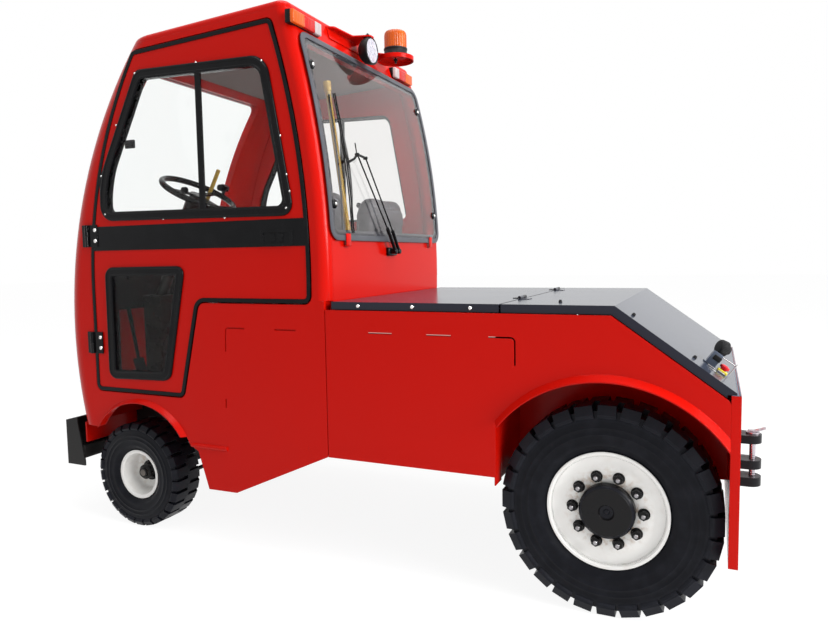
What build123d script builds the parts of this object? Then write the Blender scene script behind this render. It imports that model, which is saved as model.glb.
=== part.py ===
from build123d import *
from math import atan, cos, degrees, radians, sin, sqrt, tan
import os

# Electric tow tractor for airport baggage trains, with a closed two-seat cab.
# Sizes are in millimetres. X runs forward from the rear axle, Y to the left, Z up from the floor.
# Side outlines are drawn as X and Z. Every node is written with X = 0 moved to the middle of the length.

# Driving sizes
BODY_WIDTH = 1300
HALF_WIDTH = BODY_WIDTH / 2
WHEELBASE = 2360         # the cab and all in it keep their places from the front axle
SHEET = 5                # body side sheet
CAB_WALL = 45            # cab wall and door thickness
SEAM = 2                 # gap where two body panels meet
DOOR_GAP = 6             # running gap round a door
FACE_GAP = 0.3           # gap between faces that move past each other
FIT = 0.05               # radial clearance of a pin or spindle in its bore

# Limits past the cab and the vehicle, for cutting
CAB_AHEAD_X = WHEELBASE + 640
CAB_BEHIND_X = WHEELBASE - 1460
OUTSIDE_Y = HALF_WIDTH + 150
INSIDE_Y = HALF_WIDTH - 150
ABOVE_Z = 2800

# Cab outline: two big circles in side view and a sloping roof line
CAB_FRONT_R = 2205
CAB_FRONT_CENTRE = (WHEELBASE + 414 - CAB_FRONT_R, 1014)
CAB_REAR_R = 3848
CAB_REAR_CENTRE = (WHEELBASE - 1200 + CAB_REAR_R, 1310)
ROOF_REAR = (WHEELBASE - 980, 2482)
ROOF_FRONT = (WHEELBASE - 110, 2437)
CAB_BASE_Z = 520
CAB_FRONT_CORNER_R = 120
CAB_REAR_CORNER_R = 50
ROOF_EDGE_R = 28
ROOF_CAP_DEPTH = 36
CAB_MIDDLE_X = WHEELBASE - 460   # where front and rear corner posts are parted
WINDSCREEN_Z = (1215, 2330)
WINDSCREEN_HALF = (HALF_WIDTH - 150, HALF_WIDTH - 195)   # at the foot and at the head
REAR_WINDOW_Z = (1490, 2315)
REAR_WINDOW_HALF = HALF_WIDTH - 75
REAR_GLASS_LAP = 28      # how far the rear glass lies over the wall
REAR_GLASS = 6
RIM_RUBBER = 3

# Door opening in side view
DOOR_FRONT_X = WHEELBASE + 199
DOOR_FRONT_R = 2062
DOOR_FRONT_Z = 1233
DOOR_REAR_R = 3632
DOOR_REAR_CENTRE = (WHEELBASE - 1121 + DOOR_REAR_R, 1326)
DOOR_TOP = ((WHEELBASE - 958, 2413), (WHEELBASE - 148, 2378))
DOOR_STEP_Z = 1172
DOOR_STEP_X = WHEELBASE - 495
DOOR_FOOT_Z = 709
DOOR_FOOT_X = WHEELBASE - 384
DOOR_CORNER_R = 40
DOOR_REBATE = 8
DOOR_SEAL = 18
DOOR_SEAL_PROUD = 3

# Door windows, belt band and handle
UPPER_WINDOW = ((-1046, 1559, 75), (102, 1575, 85), (98, 1780, 120), (-172, 2282, 50), (-923, 2257, 100))
LOWER_WINDOW = ((-422, 1347, 55), (92, 1344, 55), (98, 779, 55), (-304, 789, 55))
WINDOW_FRAME = 45
WINDOW_REBATE = 30
WINDOW_GLASS = 6
FRAME_PROUD = 8
WINDOW_DIVIDER_X = WHEELBASE - 546
WINDOW_DIVIDER = 32
BAND_Z = (1428, 1548)
BAND_PROUD = 3
HANDLE_X = (WHEELBASE - 1032, WHEELBASE - 867)
HANDLE_Z = (1430, 1502)
HANDLE_PROUD = 9

# Door hinges, outside the skin
HINGE_Z = (1503, 960)
HINGE_LENGTH = 110
HINGE_BARREL_R = 9
HINGE_PIN_R = 5
HINGE_LEAF = 5
HINGE_AXIS = (DOOR_FRONT_X + 1, HALF_WIDTH + HINGE_BARREL_R + 4)

# Lower body
SILL_Z = 503
BODY_SEAM_X = WHEELBASE - 1182
SEAM_POST = 100          # width of the upright in the cab side that closes it at the seam
PANEL_TOP_Z = 1151
PANEL_CORNER_R = 25
REAR_ARCH_R = 525
REAR_ARCH_FRONT_X = 417
REAR_LIP_R = 503         # free edge of the flared lip round the rear wheel
REAR_LIP_PROUD = 35
ARCH_FLANGE = 80
FLANGE_LOW_Z = 470
FRONT_ARCH_R = 345
FRONT_ARCH_CENTRE = (WHEELBASE - 92, 337)
FRONT_LIP_R = 328
FRONT_LIP_PROUD = 24
LIP_SHEET = 5
LOW_BOX = ((WHEELBASE - 676, 277), (WHEELBASE - 512, 275), (WHEELBASE - 455, 455), (WHEELBASE - 406, 481))
BEAD_X = (WHEELBASE - 633, WHEELBASE - 418)
BEAD_Z = 484
BEAD_R = 11

# Narrow slots cut along one rounded line on each side: x low, x high, z low, z high of each stretch
SLOT_WIDTH = 6
SLOT_DEPTH = 6
SLOT_LINE = ((338, 600), (WHEELBASE - 629, 600), (WHEELBASE - 645, 1058), (338, 1058))
SLOT_CORNER_R = 18
PANEL_SLOTS = ((300, 443, 951, 1100), (598, 704, 1000, 1100), (859, 968, 1000, 1100))
CAB_SLOTS = ((WHEELBASE - 1030, WHEELBASE - 919, 1000, 1100), (WHEELBASE - 751, WHEELBASE - 600, 948, 1100),
             (WHEELBASE - 660, WHEELBASE - 600, 681, 723))

# Deck and hood
DECK_TOP_Z = 1186
DECK_EDGE = 33
DECK_SHEET = 6
DECK_HALF = HALF_WIDTH - 10
HOOD_SEAM_X = 400
HOOD_GAP = 8
HOOD_BEND_X = -28
HOOD_END = (-433, 894)
HOOD_HINGE_Y = (HALF_WIDTH - 350, 250 - HALF_WIDTH)
HOOD_HINGE_LENGTH = 100
HOOD_HINGE_R = 7
HOOD_HINGE_PIN_R = 3.5
HOOD_HINGE_LEAF = (42, 3)        # reach and thickness

# Rear plate and hitch
PLATE_X = -415
PLATE_THICK = 32
PLATE_Z = (280, 885)
JAWS = ((569, 604), (460, 497), (386, 424))
JAW_TIP_X = -550
JAW_HALF = 48
JAW_BACK = 12            # plate that carries the jaws
PIN_X = -515
PIN_R = 12
PIN_HOLE_R = 13
PIN_HEAD_R = 27
PIN_HEAD = 8
PIN_LEVER = 48           # reach of the pin's lever behind its axis
PIN_LEVER_RISE = 22
PIN_LEVER_HALF = 13

# Chassis
FRONT_TYRE_WIDTH = 186
FRONT_TYRE_Y = HALF_WIDTH - 37 - FRONT_TYRE_WIDTH / 2
KINGPIN_Y = FRONT_TYRE_Y - 110
RAIL_Y = (KINGPIN_Y - 210, KINGPIN_Y - 150)
RAIL_Z = (480, 600)
RAIL_END_X = WHEELBASE + 300
FRONT_WALL_X = WHEELBASE + 345   # wall ahead of the front wheels
WALL_LOW_Z = 411
HORN_LOW_Z = 335         # underside of the horns that carry the bumper
BULKHEAD = 10
BULKHEAD_X = (HOOD_SEAM_X + 28, BODY_SEAM_X - 50)
BATTERY_LENGTH = BULKHEAD_X[1] - BULKHEAD_X[0] - 70
BATTERY_WIDTH = 2 * HALF_WIDTH - 460
BATTERY_HEIGHT = 500

# Bumper
BUMPER_FRONT_X = WHEELBASE + 481
BUMPER_HALF = HALF_WIDTH - 30
BUMPER_WALL = 8
BUMPER_Z = (284, 525)
BUMPER_TOP_BACK = (40, 546)      # rear edge of its top plate: ahead of the wall, and height
BUMPER_END_Z = (312, 514)        # rear corners of its end plates
BUMPER_BEAM = 60
BUMPER_BEAM_Z = (HORN_LOW_Z, 392)

# Rear wheels
REAR_TYRE_R = 407
REAR_TYRE_WIDTH = 210
REAR_TYRE_Y = HALF_WIDTH - 30 - REAR_TYRE_WIDTH / 2
REAR_RIM_R = 227
REAR_BEAD_R = REAR_RIM_R - 18
REAR_DISC_Y = REAR_TYRE_Y + 60
REAR_HUB_R = 104
REAR_SPINDLE_R = 42

# Front wheels
FRONT_TYRE_R = 270
FRONT_RIM_R = 128
FRONT_BEAD_R = FRONT_RIM_R - 14
FRONT_SPINDLE_R = 20
FRONT_HUB_R = 55
KINGPIN_R = 14
TIE_ROD_BACK = 110
TIE_ROD_R = 11
TIE_EYE_R = 15
TIE_PIN_R = 8
TIE_PLAY = 1.5           # play of the tie rod's right eye, where the linkage is opened
YOKE_GAP = 36            # from the kingpin to the web of the axle's fork

# Tyres: lugs on each side, width of a lug, groove depth, reach down the wall
REAR_TREAD = (28, 68, 24, 55)
FRONT_TREAD = (26, 48, 16, 38)
LUG_PROUD = 4            # how far a lug stands out of the side wall
LUG_PAST_CENTRE = 8
BEAD_SHARE = 0.72        # bead width over tyre width

# Cab fittings
FLOOR_Z = 700
FLOOR_SHEET = 10
FLOOR_LOW_Z = 300        # foot of the sheet behind the front wheels
RISER_X = WHEELBASE - 460
SEAT_SHELF_Z = 1060
SHELF_BACK_X = WHEELBASE - 1130
SEAT_Y = HALF_WIDTH - 315
SEAT_WIDTH = HALF_WIDTH - 160
SEAT_BOX = (380, 44)
SEAT_BACK_X = WHEELBASE - 975
SEAT_TOP_Z = 1745
SEAT_LEAN = 4            # lean of the seat back in degrees
PAD_LENGTH = 445
PAD_HEIGHT = 110
PAD_GAP = 1.8            # height of the back's front edge over the cushion
BACK_THICK = 105
STEERING_CENTRE = (WHEELBASE - 265, HALF_WIDTH - 290, 1715)
STEERING_R = 200
STEERING_GRIP_R = 15
STEERING_TILT = 28
DASH = ((WHEELBASE + 120, 1120), (WHEELBASE + 420, 1120), (WHEELBASE + 420, 1240), (WHEELBASE + 200, 1330),
        (WHEELBASE + 140, 1300))
PEDAL_X = WHEELBASE + 75
PEDAL_Z = (820, 1150)
PEDAL_PLACES = (HALF_WIDTH - 395, HALF_WIDTH - 180)   # either side of the column
GRAB_POST_Y = HALF_WIDTH - 312
GRAB_BAR_R = 13

# Lamps and roof fittings
HEAD_LAMP_Z = 800
HEAD_LAMP_Y = HALF_WIDTH - 230
HEAD_LAMP_R = 85
TAIL_LAMP_Z = (2365, 2425)
TAIL_LAMP_Y = (HALF_WIDTH - 100, 200 - HALF_WIDTH)
TAIL_LENSES = (92, 84, 54)       # amber, red and clear part, from the outside inwards
TAIL_LAMP_DEPTH = 42
BRACKET_Z = 2452
WORK_LAMP_Y = round(0.135 * HALF_WIDTH)
WORK_LAMP_Z = 2382
WORK_LAMP_R = 67
BEACON_Y = -round(0.277 * HALF_WIDTH)
BEACON_Z = 2424
BEACON_R = 60
BEACON_PLATE_R = 95

REAR_AXLE_Z = REAR_TYRE_R
FRONT_AXLE_Z = FRONT_TYRE_R
LENGTH_CENTRE_X = (BUMPER_FRONT_X + PIN_X - PIN_LEVER) / 2
ROOF_SLOPE = (ROOF_FRONT[1] - ROOF_REAR[1]) / (ROOF_FRONT[0] - ROOF_REAR[0])
HOOD_SLOPE = (DECK_TOP_Z - HOOD_END[1]) / (HOOD_BEND_X - HOOD_END[0])


# Shared shapes

def slab(outline, y_low, y_high):
    """A side outline, drawn as X and Z, made solid between two places across the width."""
    return extrude(Plane.XZ.offset(-y_low) * outline, amount=y_low - y_high)


def across(outline, x_low, x_high):
    """A front outline, drawn as Y and Z, made solid between two places along the length."""
    return extrude(Plane.YZ.offset(x_low) * outline, amount=x_high - x_low)


def block(x, y, z):
    """A box between the low and high value of each axis."""
    size = (x[1] - x[0], y[1] - y[0], z[1] - z[0])
    return Pos((x[0] + x[1]) / 2, (y[0] + y[1]) / 2, (z[0] + z[1]) / 2) * Box(*size)


def polygon(*points):
    """A closed face through the given corners."""
    return make_face(Polyline(*points, close=True))


def window(x_low, x_high, z_low, z_high):
    """An upright rectangle in side view."""
    return polygon((x_low, z_low), (x_high, z_low), (x_high, z_high), (x_low, z_high))


def disc(centre, radius):
    """A round face about a side-view point."""
    return Pos(*centre) * Circle(radius)


def rod(start, end, radius):
    """A round bar from one point to another."""
    path = Vector(*end) - Vector(*start)
    return extrude(Plane(origin=start, z_dir=path) * Circle(radius), amount=path.length)


def ring_turned(*profile):
    """A body turned about the Y axis from radius and width points."""
    return revolve(polygon(*profile), axis=Axis.Y)


def largest(shape):
    """The biggest solid of a shape that a cut has parted."""
    return max(shape.solids(), key=lambda piece: piece.volume)


def roof_z(x, drop=0):
    """Height of the roof line, or of a line a given depth under it."""
    return ROOF_REAR[1] + ROOF_SLOPE * (x - ROOF_REAR[0]) - drop


def front_x(z, inset=0):
    """X of the cab's front surface at a height."""
    return CAB_FRONT_CENTRE[0] + sqrt((CAB_FRONT_R - inset) ** 2 - (z - CAB_FRONT_CENTRE[1]) ** 2)


def rear_x(z, inset=0):
    """X of the cab's rear surface at a height."""
    return CAB_REAR_CENTRE[0] - sqrt((CAB_REAR_R - inset) ** 2 - (z - CAB_REAR_CENTRE[1]) ** 2)


def rear_skin(low, high):
    """Curved sheet that follows the rear wall, between two distances outside it."""
    ring = disc(CAB_REAR_CENTRE, CAB_REAR_R + high) - disc(CAB_REAR_CENTRE, CAB_REAR_R + low)
    sheet = slab(ring, -OUTSIDE_Y, OUTSIDE_Y)
    return sheet & block((CAB_BEHIND_X, CAB_MIDDLE_X), (-OUTSIDE_Y, OUTSIDE_Y), (DECK_TOP_Z, ABOVE_Z))


def save(node, shape):
    """Write one node, moved so that the length is centred on X = 0."""
    export_step(Pos(-LENGTH_CENTRE_X, 0, 0) * shape, f"parts/{node}.step")


# Cab shell

def cab_outline(inset=0, base=CAB_BASE_Z):
    """Side outline that the front circle, rear circle and roof line share."""
    front = disc(CAB_FRONT_CENTRE, CAB_FRONT_R - inset)
    rear = disc(CAB_REAR_CENTRE, CAB_REAR_R - inset)
    under_roof = polygon((CAB_BEHIND_X, base), (CAB_AHEAD_X, base), (CAB_AHEAD_X, roof_z(CAB_AHEAD_X, inset)),
                         (CAB_BEHIND_X, roof_z(CAB_BEHIND_X, inset)))
    return under_roof & front & rear


def cab_block():
    """The cab's side outline across more than the whole width, for trimming what stands on it."""
    return slab(cab_outline(0, SILL_Z), -OUTSIDE_Y, OUTSIDE_Y)


def rounded_cab(inset, half, base):
    """The cab as a solid with round front and rear corner posts."""
    body = slab(cab_outline(inset, base), -half, half)
    body = fillet([e for e in posts(body, half) if e.center().X > CAB_MIDDLE_X], CAB_FRONT_CORNER_R - inset)
    rear = [e for e in posts(body, half) if e.center().X < CAB_MIDDLE_X]
    return fillet(rear, max(CAB_REAR_CORNER_R - inset, 8))


def posts(body, half):
    """Upright edges of a body along its two sides."""
    return [e for e in body.edges() if abs(abs(e.center().Y) - half) < 1 and e.length > 700
            and abs(e.tangent_at(0.5).Z) > 0.5]


def cab_shell():
    """Outer form less the inner form, open below, with its top edge rounded."""
    outer = rounded_cab(0, HALF_WIDTH, CAB_BASE_Z)
    top = outer.faces().sort_by(Axis.Z)[-1]
    outer = fillet(top.edges(), ROOF_EDGE_R)
    inner = rounded_cab(CAB_WALL, HALF_WIDTH - CAB_WALL, CAB_BASE_Z - 10)
    return outer - inner


def roof_zone(drop):
    """Everything above a line that lies a given depth under the roof line."""
    zone = polygon((CAB_BEHIND_X, roof_z(CAB_BEHIND_X, drop)), (CAB_AHEAD_X, roof_z(CAB_AHEAD_X, drop)),
                   (CAB_AHEAD_X, ABOVE_Z), (CAB_BEHIND_X, ABOVE_Z))
    return slab(zone, -OUTSIDE_Y, OUTSIDE_Y)


def windscreen_outline():
    """Front view of the windscreen opening, drawn as Y and Z."""
    foot, head = WINDSCREEN_HALF
    low, high = WINDSCREEN_Z
    return fillet(polygon((-foot, low), (foot, low), (head, high), (-head, high)).vertices(), 45)


def rear_window_outline(grow=0):
    """Rear view of the rear window opening, drawn as Y and Z."""
    opening = window(-REAR_WINDOW_HALF, REAR_WINDOW_HALF, *REAR_WINDOW_Z)
    return offset(fillet(opening.vertices(), 35), amount=grow)


def door_opening():
    """Side outline of the door opening with its rounded corners."""
    front_low = window(CAB_BEHIND_X, DOOR_FRONT_X, SILL_Z, DOOR_FRONT_Z)
    front = disc((DOOR_FRONT_X - DOOR_FRONT_R, DOOR_FRONT_Z), DOOR_FRONT_R) + front_low
    rear = disc(DOOR_REAR_CENTRE, DOOR_REAR_R)
    slope = (DOOR_TOP[1][1] - DOOR_TOP[0][1]) / (DOOR_TOP[1][0] - DOOR_TOP[0][0])
    top_rear = DOOR_TOP[0][1] + slope * (CAB_BEHIND_X - DOOR_TOP[0][0])
    top_front = DOOR_TOP[0][1] + slope * (CAB_AHEAD_X - DOOR_TOP[0][0])
    bounds = polygon((CAB_BEHIND_X, DOOR_STEP_Z), (DOOR_STEP_X, DOOR_STEP_Z), (DOOR_FOOT_X, DOOR_FOOT_Z),
                     (CAB_AHEAD_X, DOOR_FOOT_Z), (CAB_AHEAD_X, top_front), (CAB_BEHIND_X, top_rear))
    outline = bounds & front & rear
    corners = [v for v in outline.vertices() if abs(v.Y - DOOR_FRONT_Z) > 1]
    return fillet(corners, DOOR_CORNER_R)


def slots(stretches):
    """Side outline of the narrow slots: one rounded line, kept only along the given stretches."""
    line = fillet(polygon(*SLOT_LINE).vertices(), SLOT_CORNER_R)
    ring = offset(line, amount=SLOT_WIDTH / 2) - offset(line, amount=-SLOT_WIDTH / 2)
    faces = [ring & window(*stretch) for stretch in stretches]
    return Sketch() + faces


def arch_lip(centre, root_r, edge_r, proud):
    """Flared lip turned about a wheel arch, from the skin out to its free edge."""
    ring = ring_turned((root_r, HALF_WIDTH - 1), (root_r + LIP_SHEET, HALF_WIDTH - 1),
                       (edge_r + LIP_SHEET, HALF_WIDTH + proud), (edge_r, HALF_WIDTH + proud))
    return Pos(centre[0], 0, centre[1]) * ring


def cab_side():
    """Left side frame: corner posts, door surround, front arch and the box ahead of the seam."""
    reach = (0, ABOVE_Z)
    zone = block((CAB_MIDDLE_X, CAB_AHEAD_X), (HALF_WIDTH - CAB_FRONT_CORNER_R, OUTSIDE_Y), reach)
    zone += block((CAB_BEHIND_X, CAB_MIDDLE_X), (HALF_WIDTH - CAB_REAR_CORNER_R, OUTSIDE_Y), reach)
    side = (cab_shell() & zone) - roof_zone(ROOF_CAP_DEPTH)
    seam_x = BODY_SEAM_X + SEAM
    side -= block((CAB_BEHIND_X, seam_x), (INSIDE_Y, OUTSIDE_Y), (0, DECK_TOP_Z + SEAM))
    low = polygon((seam_x, DECK_TOP_Z + SEAM), (seam_x, SILL_Z), *LOW_BOX, (LOW_BOX[3][0] + 36, CAB_BASE_Z + 1),
                  (seam_x + SEAM_POST, CAB_BASE_Z + 1), (seam_x + SEAM_POST, DECK_TOP_Z + SEAM))
    side += slab(low, HALF_WIDTH - CAB_WALL, HALF_WIDTH)
    side += block((seam_x - 16, seam_x + 1), (HALF_WIDTH - 25, HALF_WIDTH - SHEET - 1),
                  (SILL_Z + 8, PANEL_TOP_Z - 4))
    side -= slab(disc(FRONT_ARCH_CENTRE, FRONT_ARCH_R), INSIDE_Y, OUTSIDE_Y)
    side -= slab(door_opening(), INSIDE_Y, OUTSIDE_Y)
    side -= slab(slots(CAB_SLOTS), HALF_WIDTH - SLOT_DEPTH, OUTSIDE_Y)
    lip = arch_lip(FRONT_ARCH_CENTRE, FRONT_ARCH_R, FRONT_LIP_R, FRONT_LIP_PROUD)
    side += lip & block((BEAD_X[1], CAB_AHEAD_X), (INSIDE_Y, OUTSIDE_Y), (CAB_BASE_Z, ABOVE_Z))
    return side + largest(rod((BEAD_X[0], HALF_WIDTH, BEAD_Z), (BEAD_X[1], HALF_WIDTH, BEAD_Z), BEAD_R)
                          - block(BEAD_X, (INSIDE_Y, HALF_WIDTH - 1), (SILL_Z - 100, SILL_Z)))


def cab_front():
    """Front panel, header and windscreen surround between the corner posts."""
    half = HALF_WIDTH - CAB_FRONT_CORNER_R
    zone = block((CAB_MIDDLE_X, CAB_AHEAD_X), (-half, half), (0, ABOVE_Z))
    front = (cab_shell() & zone) - roof_zone(ROOF_CAP_DEPTH)
    return front - across(windscreen_outline(), CAB_MIDDLE_X, CAB_AHEAD_X)


def cab_rear():
    """Rear wall under and over the rear window."""
    half = HALF_WIDTH - CAB_REAR_CORNER_R
    zone = block((CAB_BEHIND_X, CAB_MIDDLE_X), (-half, half), (DECK_TOP_Z - DECK_EDGE, ABOVE_Z))
    rear = (cab_shell() & zone) - roof_zone(ROOF_CAP_DEPTH)
    return rear - across(rear_window_outline(), CAB_BEHIND_X, CAB_MIDDLE_X)


def cab_roof():
    """Roof cap with rounded edges."""
    return cab_shell() & roof_zone(ROOF_CAP_DEPTH)


def cab_floor():
    """Bent floor sheet: front wheel wall, foot well, seat riser and seat shelf, with the seat boxes."""
    half = HALF_WIDTH - CAB_WALL - 1
    t = FLOOR_SHEET
    outline = polygon((CAB_AHEAD_X, FLOOR_Z), (RISER_X, FLOOR_Z), (RISER_X, SEAT_SHELF_Z),
                      (SHELF_BACK_X, SEAT_SHELF_Z), (SHELF_BACK_X, SEAT_SHELF_Z - t),
                      (RISER_X - t, SEAT_SHELF_Z - t), (RISER_X - t, FLOOR_LOW_Z), (RISER_X, FLOOR_LOW_Z),
                      (RISER_X, FLOOR_Z - t), (CAB_AHEAD_X, FLOOR_Z - t))
    floor = slab(outline, -half, half) & rounded_cab(CAB_WALL + 1, half, FLOOR_LOW_Z - 100)
    tunnel = RAIL_Y[1] + 10
    floor -= block((RISER_X - 100, RAIL_END_X), (-tunnel, tunnel), (FLOOR_LOW_Z - 10, RAIL_Z[1]))
    length, height = SEAT_BOX
    for side in (-1, 1):
        box = Box(length, length, height)
        floor += Pos(SEAT_BACK_X + 290, side * SEAT_Y, SEAT_SHELF_Z + height / 2) * box
    wall = block((FRONT_WALL_X, FRONT_WALL_X + t), (-half, half), (WALL_LOW_Z, CAB_BASE_Z - 1))
    return Compound(children=floor.solids() + wall.solids())


def windscreen():
    """Bent glass let into the windscreen opening."""
    half = WINDSCREEN_HALF[0] + 100
    glass = slab(cab_outline(20) - cab_outline(26), -half, half)
    glass &= block((CAB_MIDDLE_X, CAB_AHEAD_X), (-half, half), (WINDSCREEN_Z[0] - 100, WINDSCREEN_Z[1] + 60))
    return glass & across(offset(windscreen_outline(), amount=-1), CAB_MIDDLE_X, CAB_AHEAD_X)


def rear_glass():
    """Tinted sheet that lies over the rear window opening on a rubber rim."""
    sheet = rear_skin(RIM_RUBBER, RIM_RUBBER + REAR_GLASS)
    glass = sheet & across(rear_window_outline(REAR_GLASS_LAP), CAB_BEHIND_X, CAB_MIDDLE_X)
    ring = rear_window_outline(REAR_GLASS_LAP - 4) - rear_window_outline(4)
    return glass + (rear_skin(0, RIM_RUBBER) & across(ring, CAB_BEHIND_X, CAB_MIDDLE_X))


# Doors

def window_frame(corners):
    """Side outline of a window frame from its corners, each with a place, a height and a radius."""
    outline = polygon(*[(WHEELBASE + x, z) for x, z, _ in corners])
    for x, z, radius in corners:
        outline = fillet(outline.vertices().sort_by_distance((WHEELBASE + x, z))[0], radius)
    return outline


def door_leaf():
    """Left door: full wall thickness, rebated for the seal, with both windows cut."""
    step = HALF_WIDTH - DOOR_REBATE
    outline = offset(door_opening(), amount=-DOOR_GAP)
    leaf = slab(outline, HALF_WIDTH - CAB_WALL, step)
    leaf += slab(offset(outline, amount=-DOOR_SEAL), step, HALF_WIDTH)
    for corners in (UPPER_WINDOW, LOWER_WINDOW):
        leaf -= slab(offset(window_frame(corners), amount=-WINDOW_REBATE), INSIDE_Y, OUTSIDE_Y)
    return leaf


def door_trim():
    """Black parts on the left door: seal, belt band, window frames, handle and moving hinge leaves."""
    outline = offset(door_opening(), amount=-DOOR_GAP)
    seal = slab(outline - offset(outline, amount=-DOOR_SEAL), HALF_WIDTH - DOOR_REBATE,
                HALF_WIDTH + DOOR_SEAL_PROUD)
    band_face = window(CAB_BEHIND_X, CAB_AHEAD_X, *BAND_Z) & offset(outline, amount=-DOOR_SEAL - 1)
    trim = [seal, slab(band_face, HALF_WIDTH, HALF_WIDTH + BAND_PROUD) + door_handle()]
    for corners in (UPPER_WINDOW, LOWER_WINDOW):
        frame = window_frame(corners)
        trim.append(slab(frame - offset(frame, amount=-WINDOW_FRAME), HALF_WIDTH, HALF_WIDTH + FRAME_PROUD))
    bar_x = (WINDOW_DIVIDER_X - WINDOW_DIVIDER / 2, WINDOW_DIVIDER_X + WINDOW_DIVIDER / 2)
    bar_z = (UPPER_WINDOW[0][1] + WINDOW_FRAME - 4, UPPER_WINDOW[4][1] - WINDOW_FRAME + 20)
    trim[2] += block(bar_x, (HALF_WIDTH, HALF_WIDTH + FRAME_PROUD), bar_z)
    trim += [door_hinge(z)[1] for z in HINGE_Z]
    return Compound(children=[s for piece in trim for s in piece.solids()])


def door_handle():
    """Handle plate on the belt band with a pocket and two paddles in it."""
    low = HALF_WIDTH + BAND_PROUD - 1
    high = HALF_WIDTH + HANDLE_PROUD
    plate = slab(fillet(window(*HANDLE_X, *HANDLE_Z).vertices(), 6), low, high)
    pocket = window(HANDLE_X[0] + 12, HANDLE_X[1] - 12, HANDLE_Z[0] + 12, HANDLE_Z[1] - 12)
    plate -= slab(fillet(pocket.vertices(), 8), high - 5, high + 1)
    middle = (HANDLE_X[0] + HANDLE_X[1]) / 2
    for x in (middle - 34, middle + 10):
        plate += block((x, x + 24), (high - 6, high - 1), (HANDLE_Z[0] + 18, HANDLE_Z[1] - 18))
    return plate


def door_glass():
    """Upper and lower panes of the left door, behind their frames."""
    panes = []
    for corners in (UPPER_WINDOW, LOWER_WINDOW):
        face = offset(window_frame(corners), amount=-WINDOW_REBATE - 1)
        panes += slab(face, HALF_WIDTH - WINDOW_GLASS, HALF_WIDTH).solids()
    return Compound(children=panes)


def door_hinge(z):
    """Fixed and moving half of one outside door hinge on the left."""
    x, y = HINGE_AXIS
    low = z - HINGE_LENGTH / 2
    high = z + HINGE_LENGTH / 2
    face = HALF_WIDTH + DOOR_SEAL_PROUD
    pin = rod((x, y, low), (x, y, high), HINGE_PIN_R)
    fixed = rod((x, y, low), (x, y, z - FACE_GAP), HINGE_BARREL_R) + pin
    fixed += block((x, x + 40), (HALF_WIDTH, HALF_WIDTH + HINGE_LEAF), (low, high))
    fixed += block((x, x + 8), (HALF_WIDTH, y), (low, z - FACE_GAP))
    fixed -= block((x - 20, x + 5), (HALF_WIDTH - 5, y), (z - FACE_GAP, high + 1)) - pin
    moving = rod((x, y, z), (x, y, high), HINGE_BARREL_R)
    moving += block((x - 66, x), (face, face + HINGE_LEAF), (low, high))
    moving += block((x - 8, x), (face, y), (z, high))
    moving -= rod((x, y, low - 10), (x, y, high + 10), HINGE_PIN_R + FIT)
    moving -= rod((x, y, low - 1), (x, y, z), HINGE_BARREL_R + 1)
    return fixed, moving


# Lower body and deck

def rear_arch():
    """Side outline of the rear wheel opening."""
    back = PLATE_X - 20
    top = disc((0, REAR_AXLE_Z), REAR_ARCH_R) & window(back, REAR_ARCH_FRONT_X, 200, DECK_TOP_Z)
    return top + window(back, REAR_ARCH_FRONT_X, 200, REAR_AXLE_Z + 100)


def arch_sheet(low_z):
    """Side outline of the sheet that follows the rear wheel opening, down to a height."""
    keep = window(PLATE_X, BODY_SEAM_X, low_z, DECK_TOP_Z)
    return (offset(rear_arch(), amount=SHEET) - rear_arch()) & keep


def deck_side(depth=0):
    """Top line of hood and deck at a depth under the surface, as X and Z from front to rear."""
    bend_x = HOOD_BEND_X + depth * tan(0.5 * atan(HOOD_SLOPE))
    end_z = HOOD_END[1] - depth * sqrt(1 + HOOD_SLOPE ** 2)
    return (bend_x, DECK_TOP_Z - depth), (HOOD_END[0], end_z)


def side_panel():
    """Left rear side sheet with its slots, the turned-in flange and the flared lip round the wheel."""
    bend, end = deck_side(DECK_EDGE + SEAM)
    run = (bend[1] - end[1]) / (bend[0] - end[0])
    plate_z = bend[1] - run * (bend[0] - PLATE_X)
    outline = polygon((BODY_SEAM_X - SEAM, SILL_Z), (BODY_SEAM_X - SEAM, PANEL_TOP_Z), bend,
                      (PLATE_X, plate_z), (PLATE_X, REAR_AXLE_Z), (0, REAR_AXLE_Z), (0, SILL_Z))
    outline = fillet(outline.vertices().sort_by_distance((PLATE_X, plate_z))[0], PANEL_CORNER_R)
    panel = slab(outline - rear_arch() - slots(PANEL_SLOTS), HALF_WIDTH - SHEET, HALF_WIDTH)
    panel += slab(arch_sheet(FLANGE_LOW_Z), HALF_WIDTH - ARCH_FLANGE, HALF_WIDTH)
    rise = sqrt(REAR_ARCH_R ** 2 - REAR_ARCH_FRONT_X ** 2) / REAR_ARCH_FRONT_X
    keep = polygon((0, REAR_AXLE_Z), (BODY_SEAM_X, REAR_AXLE_Z + rise * BODY_SEAM_X), (0, DECK_TOP_Z),
                   (PLATE_X, DECK_TOP_Z), (PLATE_X, REAR_AXLE_Z))
    lip = arch_lip((0, REAR_AXLE_Z), REAR_ARCH_R, REAR_LIP_R, REAR_LIP_PROUD)
    return panel + (lip & slab(keep, INSIDE_Y, OUTSIDE_Y))


def wheelhouse():
    """Left rear wheel liner: curved sheet and inner wall."""
    inner = REAR_TYRE_Y - REAR_TYRE_WIDTH / 2 - 122
    outer = HALF_WIDTH - ARCH_FLANGE - 0.5
    low_z = RAIL_Z[0]
    wall = offset(rear_arch(), amount=SHEET) & window(PLATE_X, BODY_SEAM_X, low_z, DECK_TOP_Z)
    return slab(arch_sheet(low_z), inner, outer) + slab(wall, inner - SHEET, inner)


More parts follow.
